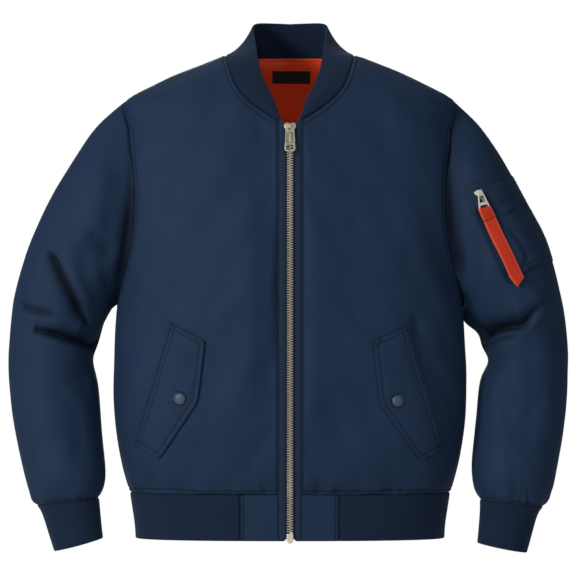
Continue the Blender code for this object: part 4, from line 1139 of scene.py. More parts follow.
def everyGrid():
    # the grid of each cut piece, and where its columns and rows lie as shares of the solids' cells
    seams = bodySeams()
    front, back, frontMarks, backMarks = bodyGrids(seams)
    turns = np.linspace(0, 360, tubes["turns"], endpoint=False)
    grids = {"front_left": front, "front_right": mirrored(front), "back": back}
    marks = {"front_left": frontMarks, "back": backMarks}
    marks["front_right"] = 1 - frontMarks[0][::-1], frontMarks[1]
    for side, name in (("left", "Left"), ("right", "Right")):
        rows = [armhole(turns)] + [ringPoints(row, turns) for row in tubes["sleeve" + name]]
        sleeve, at = tubeGrid(np.array(rows), tubes["spacing"], seamBand, tubes["crowded"])
        rows = [ringPoints(row, turns) for row in tubes["cuff" + name]]
        cuff, _ = tubeGrid(np.array(rows), tubes["cuffSpacing"], freeBand)
        marks["sleeve_" + side] = turns, at
        for kind, grid in (("sleeve_", sleeve), ("cuff_", cuff)):
            grids[kind + side] = grid if side == "left" else mirrored(grid)
    grids["collar"] = collarGrid(seams)
    tab, rib = hemGrids(seams)
    grids["hem_tab_left"], grids["hem_tab_right"], grids["hem_rib"] = tab, mirrored(tab), rib
    return grids, marks


# Folds as they are seen from the front or the back, each along a line that runs across or down: its depth,
# its roundness there, its width on the line's upper or right side and on the other, the shares of its length
# over which it starts and ends, and the places that the line passes through.
folds = {
    ("front_right", "front"): (
        (10, 18, 24, 44, 0.4, 0.3, (-58, -140), (-58, -300), (-58, -470), (-54, -575)),
        (-2.6, 5, 9, 12, 0.4, 0.5, (-43, -95), (-38, -110), (-36, -126)),
        (-2.5, 6, 14, 22, 0.4, 0.4, (-150, -120), (-168, -180), (-190, -250)),
        (2.5, 14, 18, 26, 0.4, 0.4, (-205, -95), (-212, -160), (-222, -250), (-224, -320)),
        (-3, 6, 14, 20, 0.4, 0.4, (-104, -580), (-126, -530), (-160, -470)),
        (-4.2, 10, 20, 34, 0.4, 0.4, (-20, -402), (-46, -450), (-74, -496)),
        (-3.4, 9, 16, 28, 0.4, 0.4, (-24, -506), (-44, -548), (-62, -584)),
        (-3, 8, 16, 26, 0.4, 0.4, (-40, -240), (-66, -300), (-104, -352)),
        (-4, 5, 8, 12, 0.4, 0.5, (-160, -366), (-172, -376), (-186, -394)),
        (3, 12, 22, 22, 0.4, 0.4, (-84, -250), (-110, -300), (-140, -330)),
    ),
    ("front_left", "front"): (
        (5.5, 16, 30, 20, 0.4, 0.3, (36, -140), (34, -300), (34, -450), (36, -575)),
        (-2.6, 5, 10, 8, 0.4, 0.5, (55, -86), (53, -104), (52, -120)),
        (-2, 6, 16, 18, 0.4, 0.4, (132, -60), (128, -110), (130, -170)),
        (1.6, 12, 26, 24, 0.4, 0.4, (204, -70), (208, -130), (212, -230), (220, -330)),
        (-3, 6, 20, 14, 0.4, 0.4, (96, -420), (104, -480), (118, -540)),
        (-4, 10, 30, 18, 0.4, 0.4, (56, -300), (84, -350), (104, -392)),
        (-3.2, 9, 26, 16, 0.4, 0.4, (40, -440), (62, -500), (92, -560)),
        (-3, 8, 26, 16, 0.4, 0.4, (70, -190), (100, -240), (120, -300)),
        (-3.6, 5, 12, 8, 0.4, 0.5, (170, -352), (176, -372), (180, -396)),
    ),
    ("back", "back"): (
        (-3.4, 6, 18, 28, 0.4, 0.4, (-60, -120), (-40, -230), (-58, -360)),
        (-3, 6, 22, 18, 0.4, 0.4, (70, -140), (58, -260), (80, -400)),
        (2.4, 14, 26, 26, 0.4, 0.4, (0, -420), (6, -500), (0, -570)),
        (-4.4, 4, 12, 22, 0.2, 0.5, (-205, -330), (-150, -372), (-90, -380)),
        (-3.8, 4, 14, 22, 0.2, 0.5, (210, -320), (160, -350), (110, -352)),
        (-2.8, 5, 14, 20, 0.3, 0.4, (-190, -520), (-150, -480), (-120, -420)),
        (-2.6, 5, 14, 20, 0.3, 0.4, (180, -500), (140, -470), (118, -430)),
    ),
    ("sleeve_right", "front"): (
        (-9, 2.2, 13, 14, 0.6, 0.06, (-224, -120), (-222.5, -215), (-230.5, -280), (-242, -345)),
        (4, 10, 12, 22, 0.3, 0.3, (-262, -140), (-264, -210), (-268, -270)),
        (-11, 1.4, 5, 17, 0.12, 0.3, (-336, -268), (-316, -302), (-296, -340), (-275, -379)),
        (4.5, 6, 10, 9, 0.3, 0.3, (-306, -285), (-290, -322), (-274, -352)),
        (-15, 1.5, 16, 4.5, 0.35, 0.03, (-350, -381), (-327, -387), (-300, -396), (-266, -410)),
        (-8, 1.2, 9, 4.5, 0.06, 0.5, (-356, -380), (-340, -383.5), (-308, -392)),
        (5, 7, 16, 14, 0.3, 0.2, (-340, -366), (-312, -370), (-282, -378)),
        (-5.5, 1.6, 9, 5, 0.12, 0.5, (-377, -342), (-361, -353), (-338, -359), (-304, -364)),
        (-4.5, 4, 9, 14, 0.3, 0.3, (-281, -236), (-263, -256), (-240, -282)),
        (-4.5, 16, 20, 20, 0.4, 0.4, (-286, -256), (-280, -284), (-272, -312)),
        (-5, 7, 16, 24, 0.4, 0.3, (-345, -480), (-318, -462), (-290, -450), (-272, -450)),
        (-3, 8, 18, 28, 0.4, 0.4, (-300, -470), (-290, -520), (-288, -570)),
    ),
    ("sleeve_right", "back"): (
        (-12, 2.5, 8, 16, 0.1, 0.3, (-272, -410), (-310, -398), (-350, -372)),
        (-8, 4, 12, 18, 0.2, 0.3, (-270, -370), (-300, -320), (-330, -262)),
        (-6, 5, 14, 20, 0.2, 0.4, (-290, -460), (-330, -450), (-370, -470)),
        (-6, 5, 12, 18, 0.3, 0.3, (-248, -170), (-246, -250), (-256, -320)),
    ),
    ("sleeve_left", "front"): (
        (-8, 2.6, 13, 13, 0.5, 0.2, (224, -130), (222, -190), (228, -250), (243, -320)),
        (4.5, 9, 20, 12, 0.3, 0.3, (254, -110), (252, -165), (256, -230), (267, -280)),
        (-14, 1.8, 21, 4, 0.04, 0.55, (268, -395), (304, -379), (327, -371), (340, -353), (359, -340)),
        (3, 2, 5, 6, 0.2, 0.2, (272, -398), (300, -387), (328, -380), (346, -362), (362, -344)),
        (-5, 1.6, 4, 8, 0.06, 0.4, (268, -403), (298, -391), (316, -384), (332, -374)),
        (-3.5, 1.1, 2.6, 3.5, 0.1, 0.1, (258.5, -214), (281.5, -264), (305.5, -318)),
        (5, 8, 16, 14, 0.3, 0.3, (300, -362), (330, -346), (352, -322)),
        (11, 9, 13, 13, 0.2, 0.5, (246, -336), (250, -362), (260, -396)),
        (-3.5, 8, 22, 22, 0.4, 0.4, (310, -520), (300, -480), (292, -440)),
        (-4.5, 6, 18, 24, 0.4, 0.4, (352, -470), (330, -505), (326, -560)),
    ),
    ("sleeve_left", "back"): (
        (11, 9, 13, 13, 0.2, 0.5, (246, -336), (250, -362), (260, -396)),
        (-12, 2.5, 8, 16, 0.05, 0.3, (276, -406), (310, -388), (352, -360)),
        (-8, 4, 12, 18, 0.2, 0.3, (268, -360), (296, -310), (322, -250)),
        (-5, 5, 14, 20, 0.2, 0.4, (292, -470), (334, -462), (372, -480)),
        (-6, 5, 12, 18, 0.3, 0.3, (246, -170), (244, -240), (256, -320)),
    ),
}
shellWaves = ((4.0, 95, (1, 1, 0.6)), (3.2, 46, (1.3, 1, 0.5)), (0.8, 22, (1, 1, 0.7)))
sleeveWaves = ((4.0, 70, (1, 1, 0.8)), (2.4, 36, (1.2, 1, 0.6)), (0.6, 20, (1, 1, 0.8)))
ribWaves = ((0.6, 50, (1, 1, 0.5)),)
pieceColumns = ("slot", "finish", "seed", "slant", "under", "waves", "flat", "area", "held")
pieces = {
    "front_left": ("shell_cloth", "lined", 2, -32, 0, shellWaves, (0.30, 0.60), 0.15, "hung"),
    "front_right": ("shell_cloth", "lined", 5, 35, 0, shellWaves, (0.30, 0.60), 0.15, "hung"),
    "back": ("shell_cloth", "lined", 9, 0, 0, shellWaves, (0.56, 0.66), 0.33, "hung"),
    "sleeve_left": ("shell_cloth", "lined", 13, 0, 0.7, sleeveWaves, (0.50, 0.60), 0.19, "hung"),
    "sleeve_right": ("shell_cloth", "lined", 17, 0, 0.7, sleeveWaves, (0.50, 0.60), 0.19, "hung"),
    "hem_tab_left": ("shell_cloth", "unlined", 21, 0, 0, ribWaves, (0.055, 0.066), 0.0036, "hung"),
    "hem_tab_right": ("shell_cloth", "unlined", 23, 0, 0, ribWaves, (0.055, 0.066), 0.0036, "hung"),
    "hem_rib": ("rib_knit", "knit", 25, 0, 0, ribWaves, (0.80, 0.064), 0.05, "stretched"),
    "collar": ("rib_knit", "knit", 27, 0, 0, ribWaves, (0.44, 0.07), 0.025, "stretched"),
    "cuff_left": ("rib_knit", "knit", 29, 0, 0, ribWaves, (0.22, 0.07), 0.014, "stretched"),
    "cuff_right": ("rib_knit", "knit", 31, 0, 0, ribWaves, (0.22, 0.07), 0.014, "stretched"),
}
# the pinches beside a rib: size, distance apart and reach
bodyGather = ((2.4, 15, 19), (2.8, 38, 30))
cuffGather = ((2.6, 13, 18), (2.8, 30, 28))


def edging(pick, part=None, **more):
    # how one edge of a piece is made, or the part of it between two shares of its cells
    plain = {"free": False, "dip": cloth["seamDip"], "calm": cloth["calm"], "stitches": (), "gathers": ()}
    return {"pick": pick, "part": part, **plain, **more}


def bodySide(pick):
    # the plain side seam and the stitched armhole above it
    split = cells["side"] / sideCells
    return edging(pick, (0, split), dip=1.0), edging(pick, (split, 1), stitches=(2.0, 7.5))


bodyFoot = edging("foot", stitches=(6.0,), gathers=bodyGather, calm=6)
neckEnd = cells["neckFront"] / frontCells
edgings = {
    "front_left": (
        edging("start", free=True, calm=10, stitches=(2.0,)),
        bodyFoot,
        edging("top", (0, neckEnd), stitches=(6.5,)),
        edging("top", (neckEnd, 1), dip=0.8),
        *bodySide("end"),
    ),
    "back": (
        bodyFoot,
        edging("top", (0.25, 0.75), stitches=(6.5,)),
        edging("top", (0, 0.25), dip=0.8),
        edging("top", (0.75, 1), dip=0.8),
        *bodySide("start"),
        *bodySide("end"),
    ),
    "sleeve": (
        edging("foot", calm=3),
        edging("top", stitches=(3.5,), gathers=cuffGather, calm=6),
        edging("column", at=0.515, dip=0.9, calm=0),
    ),
    "cuff": (edging("foot", dip=1.8), edging("top", free=True)),
    "collar": (*(edging(pick, free=True) for pick in ("start", "end", "top")), edging("foot")),
    "hem_rib": (edging("start"), edging("end"), edging("foot", free=True), edging("top")),
    "hem_tab_left": (
        edging("start", free=True),
        edging("end", stitches=(2.0, 6.0)),
        edging("foot", free=True),
        edging("top"),
    ),
}


def edgesFor(name, grid, normals, marks):
    # the edges of a piece with their lines; a right piece has its left one's edges, run the other way
    key = name.replace("right", "left")
    rows = edgings.get(key) or edgings[key.split("_")[0]]
    found = []
    for row in rows:
        pick, part = row["pick"], row["part"]
        if name in ("front_right", "hem_tab_right"):
            pick = {"start": "end", "end": "start"}.get(pick, pick)
            if part and pick == "top":
                part = 1 - part[1], 1 - part[0]
        if pick == "column":
            column = int(len(grid) * row["at"])
            column = len(grid) - 1 - column if "right" in name else column
            line, facing = grid[column], normals[column]
            inward = np.zeros_like(line)
        else:
            line, facing, inward = edgeOf(grid, normals, pick)
        if part:
            at = marks[name][0 if pick == "top" else 1]
            first, last = (int(np.abs(at - share).argmin()) for share in part)
            line, facing, inward = (side[first : last + 1] for side in (line, facing, inward))
        elif name in rings and pick != "column":
            line, facing, inward = (np.concatenate([side, side[:1]]) for side in (line, facing, inward))
        found.append({**row, "line": line, "facing": facing, "inward": inward})
    return found


def titled(name):
    return name.title().replace("_", "")


def buildShell(finishes):
    # every cut piece of the shell and its stitching; returns the two faces of each
    grids, marks = everyGrid()
    normals = blendedNormals(grids)
    skins = {}
    for name, row in pieces.items():
        closed = name in rings
        look = dict(zip(pieceColumns, row))
        edges = edgesFor(name, grids[name], normals[name], marks)
        rows = [(view, *fold) for view in ("front", "back") for fold in folds.get((name, view), ())]
        outer, inner, creaseShade = clothFaces(grids[name], normals[name], edges, look, rows)
        thing = clothObject("cloth" + titled(name), outer, inner, finishes[look["finish"]], closed, creaseShade)
        declared(thing, look["slot"], name)
        skins[name] = outer, inner
        tree = treeOf(outer, closed)
        runs = []
        for edge in edges:
            for away in edge["stitches"]:
                runs += sewn(tree, edge["line"] + edge["inward"] * away, edge["facing"], 3, 3)
        if runs:
            stitchObject("stitches" + titled(name), runs, finishes["navyThread"], look["slot"])
        print(f"shell: {name}, about {4 * len(outer) * outer.shape[1]} triangles")
    return skins, marks, normals


def plate(outlines, thickness, middle, bevel):
    # a flat piece with rounded edges from outlines (later ones are holes), in the plane Z = middle
    curve = bpy.data.curves.new("outline", "CURVE")
    curve.dimensions = "2D"
    curve.fill_mode = "BOTH"
    curve.extrude = (thickness / 2 - bevel) * mm
    curve.bevel_depth = bevel * mm
    curve.bevel_resolution = 2
    curve.offset = -bevel * mm
    for outline in outlines:
        line = curve.splines.new("POLY")
        line.use_cyclic_u = True
        line.points.add(len(outline) - 1)
        for point, (x, y) in zip(line.points, outline):
            point.co = (x * mm, y * mm, 0, 1)
    holder = linked("outline", curve)
    mesh = bpy.data.meshes.new_from_object(holder.evaluated_get(bpy.context.evaluated_depsgraph_get()))
    bpy.data.objects.remove(holder)
    bpy.data.curves.remove(curve)
    mesh.transform(Matrix.Translation((0, 0, middle * mm)))
    return mesh


def finished(name, mesh, finish):
    # an object with sharp edges where its faces turn by more than this angle
    mesh.materials.append(finish)
    mesh.shade_smooth()
    mesh.set_sharp_from_angle(angle=math.radians(32))
    return linked(name, mesh)


def fused(name, meshes, finish, frame):
    # one object from several meshes in the same frame
    work = bmesh.new()
    for mesh in meshes:
        work.from_mesh(mesh)
        bpy.data.meshes.remove(mesh)
    bmesh.ops.remove_doubles(work, verts=work.verts, dist=1e-6)
    bmesh.ops.recalc_face_normals(work, faces=work.faces)
    work.transform(frame)
    mesh = bpy.data.meshes.new(name)
    work.to_mesh(mesh)
    work.free()
    for polygon in mesh.polygons:
        polygon.material_index = 0
    return finished(name, mesh, finish)


def roundedOutline(points, radius, steps=4):
    # a closed outline with its corners rounded
    points = np.array(points, float)
    result = []
    for before, corner, after in zip(np.roll(points, 1, axis=0), points, np.roll(points, -1, axis=0)):
        one, two = before - corner, after - corner
        reach = min(radius, np.linalg.norm(one) * 0.45, np.linalg.norm(two) * 0.45)
        start, end = corner + unit(one) * reach, corner + unit(two) * reach
        for share in np.linspace(0, 1, steps + 1):
            result.append((1 - share) ** 2 * start + 2 * share * (1 - share) * corner + share**2 * end)
    return result


def bothHalves(half):
    # a closed outline from its right half, which may start or end on the middle line
    return [*half] + [(-x, y) for x, y in half[::-1] if x > 1e-6]


def window(top, foot, topHalf, footHalf, radius):
    # a rounded outline with four sides, even about the middle line
    return roundedOutline([(-topHalf, top), (-footHalf, foot), (footHalf, foot), (topHalf, top)], radius)


def arc(centre, radius, start, end, steps):
    angles = np.radians(np.linspace(start, end, steps + 1))
    return [(centre[0] + radius * math.cos(a), centre[1] + radius * math.sin(a)) for a in angles]


def frameAt(origin, outward, across):
    # Z along outward and X along across, as near as it can be
    z = Vector(outward).normalized()
    y = z.cross(Vector(across)).normalized()
    turn = Matrix((y.cross(z), y, z)).transposed().to_4x4()
    return Matrix.Translation(Vector(origin) * mm) @ turn


def turnedMesh(profile, sides):
    # a mesh turned about Z from (radius, height) points
    work = bmesh.new()
    vertices = [work.verts.new((radius * mm, 0, height * mm)) for radius, height in profile]
    edges = [work.edges.new(pair) for pair in zip(vertices, vertices[1:])]
    bmesh.ops.spin(work, geom=vertices + edges, axis=(0, 0, 1), cent=(0, 0, 0), angle=2 * math.pi,
                   steps=sides, use_merge=True)
    mesh = bpy.data.meshes.new("turned")
    work.to_mesh(mesh)
    work.free()
    return mesh


zipper = {
    # the half profile of the tape: its places across and how far it stands proud there
    "tapeInset": 1.0, "tapeWall": 1.0, "tapeTop": -94, "tapeCorner": 8.0,
    "tape": ((0.3, -0.4), (1.4, -0.1), (2.3, 0.4), (3.1, 0.7), (3.8, 0.35), (4.6, 0), (6, 0), (8, 0), (10, 0),
             (12, 0.05), (13.4, -0.1), (14.6, -0.55), (15.8, -1.3), (17, -2.1), (18.5, -2.45), (21, -2.5),
             (25, -2.5)),
    "tapeRows": 160, "tapeWave": 0.16, "tapeTopSlope": (2.2, 9, 6.5),
    "teethShadowOnTape": ((4.6, 6, 8), (1, 0.7, 0)),  # painted shadow under and beside the teeth
    "pitch": 3.4, "teethTop": -115.5, "teethBottom": -660,
    "hingeHeight": -101.9, "hingeRise": 1.7,
    "sliderHalf": ((4.6, -12.5), (5.6, -11.5), (5.6, -2.5), (8.6, 1.5), (8.6, 5.5), (5.3, 7.5), (3.3, 7.5),
                   (0, 5.9)),
    "raisedHalf": ((3.4, -11.2), (3.4, -3.2), (2.7, 5.2)), "raised": 0.9,
    "sliderRail": ((5.5, -12), (5.5, -2.6), (4.9, -2.6), (4.9, -12)), "railDepth": 2.2,
    "sliderFront": 2.9, "sliderRear": 1.5, "plateGap": 0.6, "post": (1.4, 5.0),
    "bridgeWidth": 3.4, "bridgeWall": 1.1, "bridgeBore": 1.5, "bridgeSink": 0.6,
    "tabHalf": ((0, -35.7), (5, -35.1), (6.9, -33.3), (7.5, -31.2), (6.1, -6), (6.1, -1.4), (4.5, 0.95)),
    "tabThickness": 1.6, "floorThickness": 0.95, "ridgeThickness": 1.15,
    "tabWindow": ((0, -33.7), (4.8, -33), (4.8, -25.7)),
    # openings and the ridge: top, foot, half widths there and the corners' radius
    "tabEye": (-0.95, -4.2, 2.3, 2.3, 0.9),
    "tabWell": (-6.4, -23.6, 4.95, 5.95, 1.3),
    "tabRidge": (-8.2, -21.5, 1.1, 1.5, 0.8),
    "boxWidth": 9.2, "boxHeight": 13.5, "boxRise": 3.2, "boxGap": 0.3, "boxProud": 0.5,
    "boxRail": ((1.1, -9.2), (3.2, -9.2), (3.2, -1.4), (1.1, -1.4)),
    "pin": ((0.5, 0), (3.4, 0), (3.4, 2.6), (0.5, 2.6)), "pinDepth": 2.4,
}


def zipFrame(height):
    # the centre front at this height and its outward direction there
    def depth(z):
        return np.where(z < hemSeam, hemLevels["front"](z), levels["front"](z))

    height = np.asarray(height, float)
    slope = depth(height + 1) - depth(height - 1)
    nothing = np.zeros_like(height)
    point = np.stack([nothing, -depth(height), height], axis=-1)
    return point, unit(np.stack([nothing, nothing - 2, -slope], axis=-1))


def placing(height, rise):
    point, outward = zipFrame(height)
    return frameAt(point + rise * outward, outward, (1, 0, 0))


def buildTapes(finish):
    size = zipper
    across, lift = np.array(size["tape"]).T
    foot = form["hem"][0][0]
    slope, start, most = size["tapeTopSlope"]
    feet = foot + np.clip(size["tapeCorner"] - (across - across[0]), 0, None)
    tops = size["tapeTop"] + np.clip(slope * (across - start), 0, most)
    heights = feet[:, None] + (tops - feet)[:, None] * np.linspace(0, 1, size["tapeRows"])
    point, outward = zipFrame(heights)
    middle = point + across[:, None, None] * np.array((1, 0, 0))
    free = np.clip((across - 5) / 4, 0, 1)[:, None]
    # painted shadow on the tape beside the teeth
    paintedShade = np.repeat(np.interp(across, *size["teethShadowOnTape"])[:, None], size["tapeRows"], axis=1)
    for side, way in (("left", 1), ("right", -1)):
        wave = size["tapeWave"] * free * rippled(middle, 16, 4 + way, (1, 1, 1.2))
        outer = middle + (lift[:, None] - size["tapeInset"] + wave)[..., None] * outward
        inner, creaseShade = outer - size["tapeWall"] * outward, paintedShade
        if way < 0:
            outer, inner, creaseShade = mirrored(outer), mirrored(inner), paintedShade[::-1]
        thing = clothObject("tape" + titled(side), outer, inner, finish, creaseShade=creaseShade)
        declared(thing, "zip_tape", f"zip_tape_{side}")


tooth = {
    # half outline of the left row's tooth, from its heel under the tape's edge to its head past the centre
    "half": ((4.4, 0.35), (4.1, 0.6), (2.5, 0.68), (1.7, 0.6), (0.7, 0.5), (-0.2, 0.62), (-0.75, 0.5),
             (-0.95, 0.22)),
    "levels": ((0.35, -2.25), (0, -1.95), (0, 1.35), (0.16, 1.72), (0.42, 1.9)),
    "rise": 0.35,
}


def insetOutline(points, inset):
    points = np.array(points, float)
    before, after = np.roll(points, 1, 0), np.roll(points, -1, 0)
    one, two = unit(points - before), unit(after - points)
    quarter = np.array(((0, 1), (-1, 0)))
    normal = unit((one + two) @ quarter)
    spread = np.clip((normal * (one @ quarter)).sum(-1), 0.5, 1)
    return points + normal * (inset / spread)[:, None]


def loftedMesh(outline, levels):
    # vertices and faces of a solid through inset copies of an anticlockwise outline at some heights
    count = len(outline)
    layers = [np.column_stack([insetOutline(outline, inset), np.full(count, rise)]) for inset, rise in levels]
    return np.concatenate(layers), loftedFaces(count, len(levels))


def buildTeeth(finish):
    size = zipper
    half = list(tooth["half"])
    shape = loftedMesh([(x, -y) for x, y in half[::-1]] + half, tooth["levels"])
    for side, way, shift in (("left", 1, 0), ("right", -1, 0.5)):
        start = size["teethBottom"] + size["pitch"] * (0.3 + shift)
        point, outward = zipFrame(np.arange(start, size["teethTop"] - 1, size["pitch"]))
        across = np.broadcast_to(np.array((float(way), 0, 0)), point.shape)
        frames = point + outward * tooth["rise"], across, np.cross(outward, across), outward
        name = "teeth" + titled(side)
        declared(finished(name, repeated(name, shape, frames), finish), "zip_metal", f"zip_teeth_{side}")


def buildSlider(finish):
    size = zipper
    frame = placing(size["hingeHeight"], -size["tapeInset"] + size["sliderFront"] + size["hingeRise"])
    outline = roundedOutline(bothHalves(size["sliderHalf"]), 1.6)
    front = -size["hingeRise"]
    tape = front - size["sliderFront"]
    thickness = size["sliderFront"] - size["plateGap"]
    rear = tape - size["tapeWall"] - size["plateGap"] - size["sliderRear"] / 2
    raised = roundedOutline(bothHalves(size["raisedHalf"]), 1.2)
    half, height = size["post"]
    post = [(-half, 0), (half, 0), (half, height), (-half, height)]
    depth = size["sliderFront"] + size["sliderRear"] + size["tapeWall"]
    meshes = [
        plate([outline], thickness, front - thickness / 2, 0.6),
        plate([outline], size["sliderRear"], rear, 0.4),
        plate([raised], size["raised"], front, 0.35),
        plate([post], depth, tape + size["sliderFront"] - (depth + size["plateGap"]) / 2, 0.3),
    ]
    for side in (1, -1):
        # the rails that close over the teeth
        rail = [(side * x, y) for x, y in size["sliderRail"]][::side]
        meshes.append(plate([rail], size["railDepth"], tape + size["railDepth"] / 2, 0.2))
    outer = size["bridgeBore"] + size["bridgeWall"]
    foot = front - size["bridgeSink"]
    arch = [(-outer, foot), (outer, foot)] + arc((0, 0), outer, 0, 180, 24)
    bore = arc((0, 0), size["bridgeBore"], 0, 360, 32)[:-1]
    bridge = plate([arch, bore], size["bridgeWidth"], 0, 0.35)
    bridge.transform(Matrix(((0, 0, 1, 0), (1, 0, 0, 0), (0, 1, 0, 0), (0, 0, 0, 1))))
    declared(fused("zipSlider", meshes + [bridge], finish, frame), "zip_metal", "zip_slider")
    return frame


def buildTab(finishes, frame):
    # the tab, its sunk floor with an opening, and the ridge on the floor
    size = zipper
    outline = roundedOutline(bothHalves(size["tabHalf"]), 1.6)
    holes = [window(*size["tabEye"]), roundedOutline(bothHalves(size["tabWindow"]), 0.9)]
    floor = plate([outline, *holes], size["floorThickness"], 0, 0.2)
    # the sunk floor takes a darker brass: painted shade in the tab's recess
    declared(fused("pullTabFloor", [floor], finishes["shadedTabFloor"], frame), "zip_metal", None, "pull_tab")
    meshes = [
        plate([outline, *holes, window(*size["tabWell"])], size["tabThickness"], 0, 0.34),
        plate([window(*size["tabRidge"])], size["ridgeThickness"], 0, 0.2),
    ]
    declared(fused("pullTab", meshes, finishes["slider"], frame), "zip_metal", "zip_pull", "pull_tab")


def buildBox(finish):
    size = zipper
    half = size["boxWidth"] / 2
    rise = -size["tapeInset"] + size["boxProud"] + size["boxRise"] / 2
    frame = placing(size["teethBottom"] - size["boxGap"], rise)
    outline = [(half, 0), (-half, 0)] + arc((0, -size["boxHeight"] + half), half, 180, 360, 20)
    meshes = [plate([roundedOutline(outline, 0.8, 2)], size["boxRise"], 0, 0.7)]
    for side in (1, -1):
        rail = roundedOutline([(side * x, y) for x, y in size["boxRail"]][::side], 0.5)
        meshes.append(plate([rail], 0.8, size["boxRise"] / 2, 0.3))
    # the end of the pin that stays in the left row
    meshes.append(plate([roundedOutline(size["pin"], 0.6)], size["pinDepth"], 0.2, 0.4))
    declared(fused("zipBox", meshes, finish, frame), "zip_metal", "zip_box")


flapSize = {
    "corners": ("sewnTop", "freeTop", "point", "freeFoot", "sewnFoot", "snap"),
    "right": ((162.7, -370.8), (116, -394.5), (126.4, -478), (179, -557), (214, -538), (150.8, -473.8)),
    "left": ((160.2, -374), (113.4, -395.2), (123, -481.3), (179.4, -560.5), (211, -542.4), (147, -476.9)),
    "columns": 52, "rows": 96, "evening": 10,
    "rise": 0.8, "wall": 3.0, "edgeRadius": 1.05, "cornerRadius": 4.5, "pointRadius": 9,
    "freeStitches": (6.6,), "sewnStitches": (2.2, 8.0), "stitchEnds": 6.5,
    "stitchWidth": 0.9, "stitchDip": 0.85, "stitchDark": 0.6,
    "seat": (1.1, 15), "seatShadow": (0.9, 1.3, 8.9),
    "snap": ((0, 3.3), (2.4, 3.2), (4.6, 2.75), (6.2, 2.0), (7.0, 1.35), (7.15, 1.5), (7.5, 1.55), (7.9, 1.2),
             (8.1, 0.6), (8.05, -0.6)),
}


def seenAt(tree, places):
    # points and outward directions that show from the front at these places (x, z)
    points, outward = [], []
    for x, z in places:
        point, normal, _, _ = tree.ray_cast(Vector((x, -260, z)), Vector((0, 1, 0)))
        points.append(np.array(point))
        outward.append(np.array(normal) * (1 if normal.y < 0 else -1))
    return np.array(points), np.array(outward)


def easedRun(count, close=2.2):
    # shares from 0 to 1 that lie closer together at both ends
    share = np.linspace(-1, 1, count)
    return 0.5 + 0.5 * np.sign(share) * (1 - (1 - abs(share)) ** close) ** (1 / close)


def filleted(points, corner, radius):
    # a run of points with the corner nearest to one place rounded off
    run = runOf(points)
    middle = run[np.linalg.norm(points - corner, axis=1).argmin()]
    share = np.clip((run - middle) / radius, -1, 1)
    pull = np.clip(1 - abs(share), 0, 1)[:, None] ** 2 * 0.25
    before, after = (pointsAt(middle + way * radius, run, points) for way in (-1, 1))
    return points + pull * ((before + after) - 2 * corner)


def flapOutline(side):
    # the free edge and the sewn edge, from foot to top, in the plane of the front
    size = flapSize
    corner = dict(zip(size["corners"], np.array(size[side], float)))
    half = easedRun(size["rows"] // 2) / 2
    share = np.unique(np.concatenate([half, 0.5 + half]))[:, None]
    low = corner["freeFoot"] + (corner["point"] - corner["freeFoot"]) * np.clip(share * 2, 0, 1)
    high = corner["point"] + (corner["freeTop"] - corner["point"]) * np.clip(share * 2 - 1, 0, 1)
    free = filleted(np.where(share < 0.5, low, high), corner["point"], size["pointRadius"])
    sewn = corner["sewnFoot"] + (corner["sewnTop"] - corner["sewnFoot"]) * share
    # the free edge's ends curve in towards the sewn edge
    run, radius = runOf(free), size["cornerRadius"]
    for away in (run, run[-1] - run):
        back = radius - np.sqrt(np.clip(radius**2 - np.clip(radius - away, 0, None) ** 2, 0, None))
        free = free + unit(sewn - free) * back[:, None]
    return free, sewn, corner["snap"]


